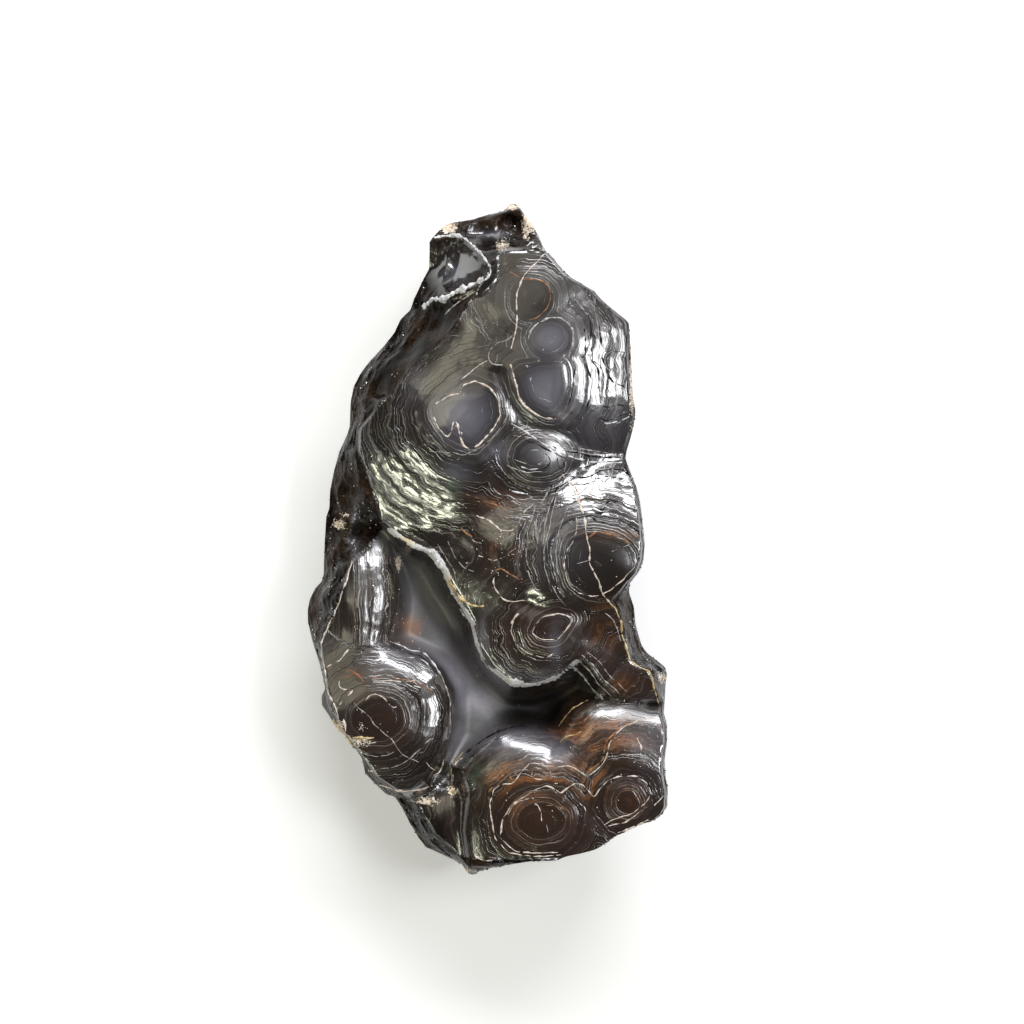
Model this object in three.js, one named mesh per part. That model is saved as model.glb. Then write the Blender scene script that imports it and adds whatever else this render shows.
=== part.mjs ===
import * as THREE from "three";

// Botryoidal hematite: one loose stone, lying on its broken back with the polished, domed face up.
// Millimetres, +Z up out of the polished face, +Y toward the narrow tip. The base is flat at Z = 0.

// Mesh: rows run across the stone, each a closed ring of points.
const ROWS = 74;
const FACE_POINTS = 44;
const BACK_POINTS = 22;
const SCAN_STEP = 0.1;
const FACE_FOLLOW = 0.45;
const ROW_FOLLOW = 0.3;
const ROW_CLIMB = 0.8;
const SCAN_COLUMNS = 24;
const RING_SCAN = 0.2;
const LEAST_RING_SCANS = 12;

// How softly the domes of one lobe run together, and the lobes with the hollow's floor.
const CROWN_BLEND = 1.6;
const LOBE_BLEND = 3.2;

// Hollow between the lobes: lowest height, where it is lowest, its bowl, its rise and its foot.
const HOLLOW_HEIGHT = 20.3;
const HOLLOW_MIDDLE_Y = -25;
const HOLLOW_CENTRE_X = -4;
const HOLLOW_TURN = 0.6;
const HOLLOW_BOWL = 44;
const HOLLOW_RISE = 4.5;
const HOLLOW_DISH = 0.003;
const HOLLOW_FOOT_Y = -38;
const HOLLOW_FOOT_FALL = 0.4;

// Back: section squareness, width of the flat base and how far the broken facets bite.
const BACK_POWER = 0.62;
const BASE_FLAT = 0.05;
const BACK_AXIS_HEIGHT = 17;
const BREAK_DEPTH = 0.06;
const BREAK_SIZE = 15;
const CHIP_DEPTH = 0.02;
const CHIP_SIZE = 6;
const BREAK_SLANT = [0.3, 0.9];
const LEAST_REACH = 0.55;

// How fast the back takes on its breaks away from the two turns.
const BREAK_GRIP = 9;

// Rims: width of the narrow break along the right side and, at the least, along the left.
const RIM_WIDTH = 0.9;
const LEAST_LEFT_RIM = 0.4;
const LEAST_FACE_WIDTH = 0.1;

// Polished face: width over which it rolls down to the left break, its slow swell and its lowest height.
const ROLL_WIDTH = 19;
const ROLL_POWER = 1.6;
const SWELL = 0.25;
const LOWEST_FACE = 11.5;
const END_BLEND = 1.5;

// Broken flanks: how they curve down, then the size and height of their facets.
const LEFT_FLANK = { curve: 1.15, size: 9, height: 1.1 };
const RIGHT_FLANK = { curve: 1.3, size: 7, height: 0.7 };
const FULL_FLANK = 5;

// Swell of the face, as [share, across, along, shift], and the folds that make facets, as
// [share, spacing, across, along, shift].
const WAVES = [[0.5, 0.31, 0.17, 1.1], [0.3, -0.23, 0.41, 2.7], [0.2, 0.62, 0.53, 0.4]];
const FOLDS = [
  [0.5, 1, 0.82, 0.57, 0.13], [0.32, 0.73, -0.46, 0.89, 0.58], [0.22, 0.51, 0.97, -0.26, 0.31],
];

const DEEP_BELOW = -100;
const LOOK = { color: 0x2b2523, roughness: 0.18, metalness: 0.1 };

// Outline of the stone seen from above, as [y, x].
const LEFT_OUTLINE = [
  [67.6, 4.9], [66.2, 3.3], [65.4, 0.2], [64.3, -2.9], [63.8, -5.9], [63.2, -8.3], [61.8, -9.7],
  [59.6, -11.4], [54.4, -11.5], [52.2, -12.7], [48.4, -14.5], [46.2, -15.3], [44.2, -17.3],
  [41.6, -18.5], [39.0, -20.5], [35.8, -23.5], [33.8, -25.1], [30.8, -26.7], [28.0, -27.3],
  [23.0, -27.5], [21.0, -28.1], [17.6, -29.7], [14.0, -30.7], [10.0, -31.5], [6.4, -31.7],
  [4.6, -32.3], [-1.0, -32.7], [-7.0, -32.9], [-8.4, -33.3], [-9.8, -34.6], [-12.0, -35.7],
  [-14.0, -36.1], [-16.4, -36.1], [-20.0, -35.3], [-25.0, -33.7], [-30.0, -32.5], [-31.4, -33.3],
  [-33.4, -33.2], [-35.8, -31.5], [-38.2, -29.9], [-39.4, -28.2], [-41.0, -27.1], [-44.0, -25.1],
  [-47.0, -24.5], [-49.4, -22.4], [-51.4, -20.2], [-51.8, -18.5], [-54.0, -17.1], [-57.2, -15.5],
  [-60.0, -13.9], [-62.2, -12.3], [-62.9, -10.6], [-64.4, -7.3], [-65.6, -5.0], [-67.2, -3.9],
  [-67.6, -3.1],
];
const RIGHT_OUTLINE = [
  [67.6, 5.9], [66.6, 6.9], [64.4, 8.3], [62.4, 9.7], [60.0, 10.9], [57.8, 11.3], [57.3, 12.5],
  [55.0, 14.3], [52.6, 16.5], [51.0, 19.1], [49.6, 21.5], [48.2, 22.7], [46.0, 25.1], [44.2, 27.5],
  [43.2, 28.4], [39.0, 28.7], [29.0, 29.1], [25.8, 29.7], [23.6, 29.5], [20.6, 28.8], [18.0, 28.0],
  [16.4, 27.7], [14.6, 28.2], [10.6, 29.9], [7.6, 30.6], [2.0, 31.3], [-1.0, 31.5], [-4.0, 31.3],
  [-6.4, 30.4], [-8.6, 28.7], [-10.4, 28.5], [-13.4, 29.5], [-17.0, 29.9], [-21.0, 31.1],
  [-22.6, 32.1], [-24.6, 34.7], [-25.6, 35.9], [-27.0, 36.3], [-29.0, 36.0], [-34.6, 35.5],
  [-37.0, 36.1], [-40.0, 36.1], [-44.0, 35.6], [-47.0, 35.8], [-50.0, 36.3], [-53.2, 36.2],
  [-54.6, 35.4], [-56.0, 33.7], [-56.5, 31.5], [-58.0, 28.7], [-59.0, 26.4], [-61.6, 22.7],
  [-62.4, 19.7], [-63.0, 16.7], [-63.8, 14.9], [-64.0, 9.7], [-64.8, 5.1], [-65.8, 1.0],
  [-66.6, -1.1], [-67.4, -2.1], [-67.6, -2.5],
];

// Where the face stops and the broken flanks begin, as [y, x].
const LEFT_EDGE = [
  [67.6, 5.3], [65.0, 4.6], [62.0, 4.0], [59.0, 3.6], [56.4, 2.3], [54.4, 0.9], [51.2, -0.5],
  [47.0, -3.3], [42.0, -6.3], [38.2, -9.7], [33.8, -14.9], [31.6, -16.5], [29.0, -17.7],
  [28.0, -20.1], [26.0, -21.7], [22.4, -24.9], [17.6, -25.3], [14.0, -23.7], [6.0, -21.3],
  [2.0, -20.5], [-1.5, -23.9], [-4.4, -26.9], [-10.0, -28.7], [-14.6, -30.3], [-20.6, -32.9],
  [-25.0, -32.3], [-29.4, -31.6], [-33.6, -30.4], [-38.0, -28.4], [-44.0, -23.8], [-47.0, -21.8],
  [-50.4, -17.0], [-53.4, -13.2], [-59.0, -10.1], [-62.0, -6.3], [-65.6, -3.0], [-67.6, -3.0],
];
const RIGHT_EDGE = [
  [-8.0, 28.0], [-12.0, 24.7], [-15.0, 26.3], [-20.0, 27.5], [-24.4, 28.7], [-25.8, 32.1],
  [-29.0, 33.7], [-32.0, 34.6],
];

// Height of the stone where it turns under on each side.
const LEFT_TURN = [
  [67.6, 15], [64, 22], [56, 23], [48, 22], [40, 21], [30, 20], [22, 19], [10, 17], [0, 16], [-14, 14],
  [-30, 15], [-40, 17], [-50, 15], [-60, 13], [-67.6, 12],
];
const RIGHT_TURN = [
  [67.6, 15], [60, 23], [56, 28], [50, 30], [20, 30], [0, 31], [-8, 27], [-14, 22], [-22, 18],
  [-28, 18], [-33, 23], [-40, 26], [-50, 25], [-57, 23], [-62, 21], [-67.6, 12],
];

// How far the face rolls down on the left, how high the stone may reach at its ends, and how far
// its under side lifts there.
const LEFT_ROLL = [[44, 0], [30, 1.0], [20, 2.4], [3, 2.4], [-4, 1.4], [-12, 0]];
const END_CEILING = [
  [67.6, 17], [66.2, 22.5], [63, 28], [59, 32], [57, 36], [50, 44], [-63, 44], [-64.4, 30],
  [-66, 23], [-67.6, 14],
];
const BASE_LIFT = [
  [67.6, 11], [64, 7], [58, 3], [51, 0], [-50, 0], [-57, 2], [-63, 5], [-67.6, 10],
];

// Domes: middle x and y, crown height, radius of curvature across and along, and on the foot side
// where that differs.
const UPPER_CAPS = [
  [9, 31, 37.4, 48, 110, 36], [-3.3, 24, 37.2, 46, 110, 52], [9.2, 17.0, 36.4, 18, 18],
  [20.5, -1.5, 37.9, 85, 26, 32], [5, 6, 34.9, 40, 24, 70], [12.4, -17.5, 34.7, 42, 30, 42],
  [25, -20, 33.0, 40, 40],
];
const LEFT_LOBE_CAPS = [[-24.5, -12, 28.9, 10, 26, 60]];
const LEFT_DOME_CAPS = [[-19.5, -34, 31.0, 72, 32, 46]];
const LOWER_DOME_CAPS = [[9.5, -50, 31.4, 60, 36], [12, -57, 30.9, 60, 38]];
const RIGHT_DOME_CAPS = [[27, -43, 32.8, 56, 36], [28, -52, 31.5, 60, 36], [19.5, -39, 31.2, 26, 20]];
const LOWER_LEFT_CAPS = [[-5, -56, 25.5, 20, 30]];

// Plan outlines of the lobes, as [x, y], and of the break that ends the upper mass.
const UPPER_MASS = [
  [11.9, 58.4], [4.5, 58.0], [-6, 56], [-34, 40], [-40, 10], [-20.1, 2.8], [-17.3, -0.2], [-14.9, -1.8],
  [-11.3, -2.6], [-8.7, -6.0], [-7.3, -9.0], [-4.7, -13.0], [-2.7, -16.4], [-1.7, -21.0], [1.1, -25.4],
  [5.3, -28.8], [8.7, -28.8], [13.7, -27.4], [18.1, -24.0], [19.7, -24.4], [22.3, -28.4], [25.3, -31.2],
  [30.7, -32.2], [40, -32.4], [40, 52], [20, 60],
];
const LEFT_LOBE = [
  [-20.0, 2.4], [-19.1, -2.0], [-18.7, -5.0], [-17.5, -11.0], [-17.7, -14.0], [-19.3, -20.5], [-19.3, -27],
  [-40, -27], [-42, 4],
];
const LEFT_DOME = [
  [-20.4, -19.0], [-16.0, -21.4], [-12.6, -23.2], [-9.3, -26.2], [-7.3, -30.0], [-6.5, -35.0], [-6.9, -40.0],
  [-8.3, -45.0], [-11.0, -49.5], [-15.5, -52.0], [-30, -53], [-44, -40], [-44, -8], [-24.5, -8],
];
const LOWER_DOME = [
  [-4.4, -50], [-6.0, -45.6], [-2.3, -41.4], [1.7, -38.2], [4.7, -37.4], [8.2, -37.6], [12.7, -39.0],
  [16.7, -42.0], [20, -44.4], [30, -52], [34, -70], [-3, -72], [-5, -58],
];
const RIGHT_DOME = [
  [14.5, -40.5], [16.3, -36.4], [17.1, -34.4], [18.7, -32.8], [22.7, -31.2], [26.7, -31.4],
  [33.7, -33.0], [40, -33], [40, -66], [8, -66], [8, -47],
];
const LOWER_LEFT = [
  [-5, -48], [-12, -49.5], [-22, -50], [-22, -70], [6, -72], [6, -48],
];

// Lobes that stand out of the hollow: how deep and wide their edge is rounded, and how steeply
// they fall past it.
const LOBES = [
  { caps: UPPER_CAPS, outline: UPPER_MASS, lip: 1.6, lipWidth: 0.9, slope: 2.6 },
  { caps: LEFT_LOBE_CAPS, outline: LEFT_LOBE, lip: 1.6, lipWidth: 3.0, slope: 1.5 },
  { caps: LEFT_DOME_CAPS, outline: LEFT_DOME, lip: 3.8, lipWidth: 5.5, slope: 2.0 },
  { caps: LOWER_DOME_CAPS, outline: LOWER_DOME, lip: 3.2, lipWidth: 5.0, slope: 1.8 },
  { caps: RIGHT_DOME_CAPS, outline: RIGHT_DOME, lip: 3.0, lipWidth: 5.0, slope: 2.2 },
  { caps: LOWER_LEFT_CAPS, outline: LOWER_LEFT, lip: 1.5, lipWidth: 3.0, slope: 1.5 },
];

// Ridges and creases of the face: height, width and course as [x, y].
const RIDGES = [
  [2.2, 1.3, [
    [-10.7, 60.4], [-6, 60.8], [-2.3, 58.4], [0.5, 55.2], [0.2, 52.6], [-2.0, 50.4], [-7, 49],
    [-11.5, 47.4],
  ]],
  [0.9, 1.0, [[-13, 44], [-17.5, 37.5], [-22, 32.5], [-24.8, 27]]],
  [-0.5, 1.6, [[2.9, 32.5], [4.1, 28.4], [8.2, 23.4], [15, 20.6], [21, 18.0], [29, 16.6]]],
  [-0.7, 1.8, [[7.3, -12.6], [12, -13.8], [18.5, -14.4], [25, -12.8]]],
  [-0.4, 1.9, [[17.3, 13.4], [12.5, 8], [8.4, 0], [7.6, -6], [8.6, -11]]],
  [1.0, 2.8, [[-9.5, -24], [-5, -31], [2, -37]]],
  [-0.4, 2.0, [[19, -44], [24, -46.4], [31, -47.5]]],
  [1.0, 0.9, [[-30.6, 13], [-28.4, 4], [-29.6, -5], [-33, -13]]],
  [-1.2, 1.1, [[-26.4, 12], [-25.0, 4], [-27.8, -3.5]]],
];

// Hollows of the face: centre x, y, radius and depth.
const HOLLOWS = [
  [4.6, 63.4, 2.2, 4.0], [-6.0, 55.0, 4.6, 2.8], [-1.5, 61.6, 3.0, 1.0], [-10.5, 43.5, 4.5, 1.4],
  [-13, -11, 5.0, 1.4], [11.5, -33, 4.5, 1.6], [-15.5, 37.0, 5.0, 1.0], [31.5, -22.5, 2.2, 1.2],
];

// Flat broken facets of the back: outward direction, then distance from the back's axis.
const BACK_FACETS = [
  [[0.86, 0.10, -0.50], 28.5], [[-0.80, 0.16, -0.58], 27.0], [[0.62, -0.16, -0.77], 27.0],
  [[-0.60, -0.20, -0.77], 29.5], [[0.40, 0.42, -0.82], 36.5], [[-0.44, 0.36, -0.82], 34.0],
  [[0.97, -0.24, -0.02], 38.5], [[-0.95, -0.28, -0.10], 38.0], [[-0.97, 0.22, -0.12], 33.5],
  [[0.40, -0.46, -0.79], 44.0], [[-0.42, -0.44, -0.79], 43.0], [[0.94, 0.30, -0.16], 36.0],
];

function lerp(a, b, t) {
  return a + (b - a) * t;
}

function clamp(v, low, high) {
  return Math.min(Math.max(v, low), high);
}

// Value at a of a table of [a, value] that falls in a.
function along(table, a) {
  if (a >= table[0][0]) return table[0][1];
  for (let i = 1; i < table.length; i += 1) {
    const [a1, v1] = table[i];
    const [a0, v0] = table[i - 1];
    if (a >= a1) return lerp(v0, v1, (a0 - a) / (a0 - a1));
  }
  return table[table.length - 1][1];
}

function smoothMax(a, b, k) {
  const h = Math.max(k - Math.abs(a - b), 0) / k;
  return Math.max(a, b) + (h * h * k) / 4;
}

function segmentDistance(x, y, p, q) {
  const dx = q[0] - p[0];
  const dy = q[1] - p[1];
  const t = clamp(((x - p[0]) * dx + (y - p[1]) * dy) / (dx * dx + dy * dy), 0, 1);
  return Math.hypot(x - p[0] - t * dx, y - p[1] - t * dy);
}

function pathDistance(x, y, path) {
  let best = Infinity;
  for (let i = 1; i < path.length; i += 1) {
    best = Math.min(best, segmentDistance(x, y, path[i - 1], path[i]));
  }
  return best;
}

// Distance to a closed outline, positive inside it.
function insideDistance(x, y, outline) {
  let inside = false;
  let best = Infinity;
  for (let i = 0, j = outline.length - 1; i < outline.length; j = i, i += 1) {
    const [xi, yi] = outline[i];
    const [xj, yj] = outline[j];
    best = Math.min(best, segmentDistance(x, y, outline[j], outline[i]));
    if (yi > y !== yj > y && x < ((xj - xi) * (y - yi)) / (yj - yi) + xi) inside = !inside;
  }
  return inside ? best : -best;
}

// Triangle wave of period 1 and height +-1, which breaks a surface into flat facets.
function fold(t) {
  return 4 * Math.abs(t - Math.floor(t + 0.5)) - 1;
}

// Broken, faceted roughness of about +-1.
function facets(x, y, size) {
  let sum = 0;
  for (const [share, spacing, across, up, shift] of FOLDS) {
    sum += share * fold((across * x + up * y) / (size * spacing) + shift);
  }
  return sum;
}

// Slow swell of the polished face, about +-1.
function waves(x, y) {
  const height = ([share, across, up, shift]) => share * Math.sin(across * x + up * y + shift);
  return WAVES.reduce((sum, wave) => sum + height(wave), 0);
}

// Highest of several domes, run softly together.
function capHeight(x, y, caps) {
  let z = DEEP_BELOW;
  for (const [cx, cy, height, acrossRadius, alongRadius, footRadius] of caps) {
    const radius = y < cy && footRadius ? footRadius : alongRadius;
    const fall = (x - cx) ** 2 / (2 * acrossRadius) + (y - cy) ** 2 / (2 * radius);
    z = smoothMax(z, height - fall, CROWN_BLEND);
  }
  return z;
}

// One lobe: its caps, rounded off toward its plan outline and falling away past it.
function lobeHeight(x, y, { caps, outline, lip, lipWidth, slope }) {
  const d = insideDistance(x, y, outline);
  const z = capHeight(x, y, caps);
  if (d >= lipWidth) return z;
  if (d >= 0) return z - lip * (1 - Math.sqrt(1 - (1 - d / lipWidth) ** 2));
  return z - lip + slope * d;
}

// Floor between the lobes: a slanted trough that levels out away from its middle.
function hollowHeight(x, y) {
  const fromCentre = x - HOLLOW_CENTRE_X;
  const fromMiddle = y - HOLLOW_MIDDLE_Y + HOLLOW_TURN * fromCentre;
  const rise = HOLLOW_RISE * (1 - Math.exp(-(fromMiddle ** 2) / (2 * HOLLOW_BOWL * HOLLOW_RISE)));
  const footFall = HOLLOW_FOOT_FALL * Math.max(0, HOLLOW_FOOT_Y - y);
  return HOLLOW_HEIGHT + rise + HOLLOW_DISH * fromCentre ** 2 - footFall;
}

// The face between the two flanks: lobes standing out of the hollow.
function coreHeight(x, y) {
  let z = hollowHeight(x, y);
  for (const lobe of LOBES) z = smoothMax(z, lobeHeight(x, y, lobe), LOBE_BLEND);
  return z;
}

// What the ridges and the dents add to the height.
function carve(x, y) {
  let z = 0;
  for (const [height, width, course] of RIDGES) {
    z += height * Math.exp(-((pathDistance(x, y, course) / width) ** 2));
  }
  for (const [cx, cy, radius, depth] of HOLLOWS) {
    z -= depth * Math.exp(-((x - cx) ** 2 + (y - cy) ** 2) / radius ** 2);
  }
  return z;
}

// Where the polished face ends on the right.
function rightEdge(y) {
  const rim = along(RIGHT_OUTLINE, y) - RIM_WIDTH;
  if (y > RIGHT_EDGE[0][0] || y < RIGHT_EDGE[RIGHT_EDGE.length - 1][0]) return rim;
  return Math.min(rim, along(RIGHT_EDGE, y));
}

// Where the polished face ends on the left.
function leftEdge(y) {
  return Math.max(along(LEFT_EDGE, y), along(LEFT_OUTLINE, y) + LEAST_LEFT_RIM);
}

// Height on a broken flank, from the face's edge at t = 0 down to where the stone turns under.
function flankHeight(x, y, z, t, turn, reach, { curve, size, height }) {
  const chips = height * facets(x, y, size) * Math.min(1, reach / FULL_FLANK);
  return lerp(z, turn, t ** curve) + chips * Math.sin(Math.PI * t);
}

// Height of the upper side of the stone.
function faceHeight(x, y) {
  const left = leftEdge(y);
  const right = Math.max(rightEdge(y), left + LEAST_FACE_WIDTH);
  const inner = clamp(x, left, right);
  const roll = clamp(1 - (inner - left) / ROLL_WIDTH, 0, 1) ** ROLL_POWER;
  let z = coreHeight(inner, y) - along(LEFT_ROLL, y) * roll;
  if (x < left) {
    const reach = left - along(LEFT_OUTLINE, y);
    z = flankHeight(x, y, z, clamp((left - x) / reach, 0, 1), along(LEFT_TURN, y), reach, LEFT_FLANK);
  } else if (x > right) {
    const reach = along(RIGHT_OUTLINE, y) - right;
    z = flankHeight(x, y, z, clamp((x - right) / reach, 0, 1), along(RIGHT_TURN, y), reach, RIGHT_FLANK);
  }
  z += carve(x, y) + SWELL * waves(x, y);
  return Math.max(-smoothMax(-z, -along(END_CEILING, y), END_BLEND), LOWEST_FACE);
}

// Point of the back ring at t, 0 at the right outline and 1 at the left.
function backPoint(t, y, start, finish) {
  const turn = Math.PI * t;
  const side = t < 0.5 ? start : finish;
  const axis = 0.5 * (start[0] + finish[0]);
  const lift = along(BASE_LIFT, y);
  const reach = Math.abs(Math.cos(turn)) ** BACK_POWER;
  const rise = 1 - Math.sin(turn) ** BACK_POWER;
  const height = Math.max(0, (rise - BASE_FLAT) / (1 - BASE_FLAT));
  let x = axis + (side[0] - axis) * reach;
  let z = lift + (side[1] - lift) * height;
  const grip = Math.min(1, Math.min(t, 1 - t) * BREAK_GRIP);
  const slant = BREAK_SLANT[0] * x + BREAK_SLANT[1] * z;
  const breaks = BREAK_DEPTH * (1 + facets(y, slant, BREAK_SIZE));
  const chips = CHIP_DEPTH * (1 + facets(y, z, CHIP_SIZE));
  if (height > 0) x = axis + (x - axis) * (1 - grip * (breaks + chips));
  for (const [[nx, ny, nz], reachOut] of BACK_FACETS) {
    const ux = x - axis;
    const uz = z - BACK_AXIS_HEIGHT;
    const outward = nx * ux + nz * uz;
    const room = reachOut - ny * y;
    if (outward > room && outward > 0) {
      const s = lerp(1, Math.max(room / outward, LEAST_REACH), grip);
      x = axis + ux * s;
      z = BACK_AXIS_HEIGHT + uz * s;
    }
  }
  return [x, y, Math.max(z, 0)];
}

// Row positions, closer together where the outline runs across the stone.
function rowPositions() {
  const top = LEFT_OUTLINE[0][0];
  const bottom = LEFT_OUTLINE[LEFT_OUTLINE.length - 1][0];
  const stops = [[top, 0]];
  for (let y = top; y > bottom; y -= SCAN_STEP) {
    const xl = along(LEFT_OUTLINE, y);
    const xr = along(RIGHT_OUTLINE, y);
    let shift = Math.abs(xl - along(LEFT_OUTLINE, y - SCAN_STEP));
    shift += Math.abs(xr - along(RIGHT_OUTLINE, y - SCAN_STEP));
    let step = 0;
    for (let k = 1; k < SCAN_COLUMNS; k += 1) {
      const x = lerp(xl, xr, k / SCAN_COLUMNS);
      step += Math.abs(faceHeight(x, y) - faceHeight(x, y - SCAN_STEP)) / (SCAN_COLUMNS - 1);
    }
    const last = stops[stops.length - 1];
    const run = last[1] + SCAN_STEP + ROW_FOLLOW * shift + ROW_CLIMB * step;
    stops.push([Math.max(y - SCAN_STEP, bottom), run]);
  }
  return spread(stops, ROWS);
}

// Places count + 1 marks evenly over a list of [position, running length].
function spread(stops, count) {
  const total = stops[stops.length - 1][1];
  const marks = [];
  let i = 1;
  for (let k = 0; k <= count; k += 1) {
    const want = (total * k) / count;
    while (i < stops.length - 1 && stops[i][1] < want) i += 1;
    const [p0, s0] = stops[i - 1];
    const [p1, s1] = stops[i];
    marks.push(lerp(p0, p1, clamp((want - s0) / (s1 - s0), 0, 1)));
  }
  return marks;
}

// One closed ring: across the face from left to right, then back underneath.
function ring(y) {
  const xl = along(LEFT_OUTLINE, y);
  const xr = along(RIGHT_OUTLINE, y);
  const steps = Math.max(LEAST_RING_SCANS, Math.ceil((xr - xl) / RING_SCAN));
  const stops = [[xl, 0]];
  let z0 = faceHeight(xl, y);
  for (let i = 1; i <= steps; i += 1) {
    const x = lerp(xl, xr, i / steps);
    const z = faceHeight(x, y);
    stops.push([x, stops[i - 1][1] + Math.hypot((xr - xl) / steps, FACE_FOLLOW * (z - z0))]);
    z0 = z;
  }
  const points = spread(stops, FACE_POINTS).map((x) => [x, y, faceHeight(x, y)]);
  const start = [points[FACE_POINTS][0], points[FACE_POINTS][2]];
  const finish = [points[0][0], points[0][2]];
  for (let i = 1; i < BACK_POINTS; i += 1) {
    points.push(backPoint(i / BACK_POINTS, y, start, finish));
  }
  return points;
}

// Two triangles of a quad, split along its shorter diagonal.
function quad(index, points, a, b, c, d) {
  const gap = (i, j) => Math.hypot(...points[i].map((v, k) => v - points[j][k]));
  if (gap(a, c) <= gap(b, d)) index.push(a, b, c, a, c, d);
  else index.push(a, b, d, b, c, d);
}

// Mean of several points.
function middle(points) {
  const sum = points.reduce((s, p) => [s[0] + p[0], s[1] + p[1], s[2] + p[2]], [0, 0, 0]);
  return sum.map((v) => v / points.length);
}

// The closed skin: rings joined by quads, with a fan at the tip and at the foot.
function stoneGeometry() {
  const rings = rowPositions().map(ring);
  const count = rings[0].length;
  const points = rings.flat();
  const index = [];
  for (let r = 0; r + 1 < rings.length; r += 1) {
    for (let i = 0; i < count; i += 1) {
      const j = (i + 1) % count;
      quad(index, points, r * count + i, (r + 1) * count + i, (r + 1) * count + j, r * count + j);
    }
  }
  const tip = points.push(middle(rings[0])) - 1;
  const foot = points.push(middle(rings[rings.length - 1])) - 1;
  const last = (rings.length - 1) * count;
  for (let i = 0; i < count; i += 1) {
    const j = (i + 1) % count;
    index.push(tip, i, j);
    index.push(foot, last + j, last + i);
  }
  const geometry = new THREE.BufferGeometry();
  geometry.setAttribute("position", new THREE.Float32BufferAttribute(points.flat(), 3));
  geometry.setIndex(index);
  geometry.computeBoundingBox();
  const box = geometry.boundingBox;
  geometry.translate(-(box.min.x + box.max.x) / 2, -(box.min.y + box.max.y) / 2, -box.min.z);
  geometry.computeVertexNormals();
  return geometry;
}

// The stone as one named mesh.
function hematite() {
  const stone = new THREE.Mesh(stoneGeometry(), new THREE.MeshStandardMaterial(LOOK));
  stone.name = "hematite";
  return stone;
}

const part = new THREE.Group();
part.add(hematite());

export default part;
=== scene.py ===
"""Botryoidal hematite: one loose stone on its broken back, its polished and domed face turned up."""
import logging
import math
from collections.abc import Iterable, Mapping, Sequence
from dataclasses import dataclass
from enum import Enum

import bpy
import numpy as np
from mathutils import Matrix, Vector


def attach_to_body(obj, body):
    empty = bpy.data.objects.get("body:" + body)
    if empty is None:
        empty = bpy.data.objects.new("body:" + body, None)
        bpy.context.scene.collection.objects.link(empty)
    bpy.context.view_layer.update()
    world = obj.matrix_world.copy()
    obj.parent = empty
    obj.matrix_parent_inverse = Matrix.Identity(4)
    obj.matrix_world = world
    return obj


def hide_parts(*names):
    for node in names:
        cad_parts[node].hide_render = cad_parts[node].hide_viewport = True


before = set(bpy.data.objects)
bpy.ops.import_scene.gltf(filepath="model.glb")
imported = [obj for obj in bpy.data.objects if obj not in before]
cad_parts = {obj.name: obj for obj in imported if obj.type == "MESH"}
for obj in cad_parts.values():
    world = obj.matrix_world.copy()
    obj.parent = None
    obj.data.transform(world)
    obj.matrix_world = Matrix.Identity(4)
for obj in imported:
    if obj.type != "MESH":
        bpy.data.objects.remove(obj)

log = logging.getLogger("hematite")

MM = 0.001
SEED = 7
# Half of the stone's length and, for points with no growth ring near them, the distance stored instead.
HALF_LENGTH = 67.6
FAR = 60.0

Array = np.ndarray
Point = tuple[float, float]
Colour = tuple[float, float, float]


# ---------------------------------------------------------------- shape arithmetic, in millimetres


def smooth_max(a: Array, b: Array, blend: float) -> Array:
    """Higher of two surfaces, with their meeting line rounded over blend."""
    near = np.maximum(blend - np.abs(a - b), 0.0) / blend
    return np.maximum(a, b) + near * near * blend / 4


def smooth_min(a: Array, b: Array, blend: float) -> Array:
    """Lower of two surfaces, with their meeting line rounded over blend."""
    return -smooth_max(-a, -b, blend)


def step_between(low: float, high: float, value: Array) -> Array:
    """Smooth step from 0 at low to 1 at high."""
    t = np.clip((value - low) / (high - low), 0.0, 1.0)
    return t * t * (3 - 2 * t)


def segment_distance(x: Array, y: Array, start: Point, end: Point) -> Array:
    """Distance in plan from points to a straight segment.

    Args:
        x: across positions.
        y: positions along the stone.
        start: first end of the segment.
        end: second end of the segment.

    Returns:
        The distance at each point.
    """
    dx, dy = end[0] - start[0], end[1] - start[1]
    t = np.clip(((x - start[0]) * dx + (y - start[1]) * dy) / (dx * dx + dy * dy), 0.0, 1.0)
    return np.hypot(x - start[0] - t * dx, y - start[1] - t * dy)


def course_distance(x: Array, y: Array, course: Sequence[Point]) -> Array:
    """Distance in plan from points to a course of joined segments."""
    best = np.full(x.shape, np.inf)
    for start, end in zip(course[:-1], course[1:]):
        best = np.minimum(best, segment_distance(x, y, start, end))
    return best


def rounded(outline: Sequence[Point], times: int = 2) -> tuple[Point, ...]:
    """Closed outline with its corners cut off, as many times as asked."""
    points = np.array(outline, dtype=float)
    for _ in range(times):
        after = np.roll(points, -1, axis=0)
        points = np.stack([0.75 * points + 0.25 * after, 0.25 * points + 0.75 * after], axis=1).reshape(-1, 2)
    return tuple((float(x), float(y)) for x, y in points)


def inside_distance(x: Array, y: Array, outline: Sequence[Point]) -> Array:
    """Distance in plan to a closed outline.

    Args:
        x: across positions.
        y: positions along the stone.
        outline: corners of the outline, in order.

    Returns:
        The distance at each point, positive inside the outline.
    """
    best = np.full(x.shape, np.inf)
    inside = np.zeros(x.shape, dtype=bool)
    for start, end in zip(outline[-1:] + outline[:-1], outline):
        best = np.minimum(best, segment_distance(x, y, start, end))
        if end[1] != start[1]:
            spans = (end[1] > y) != (start[1] > y)
            cut = (start[0] - end[0]) * (y - end[1]) / (start[1] - end[1]) + end[0]
            inside ^= spans & (x < cut)
    return np.where(inside, best, -best)


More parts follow.
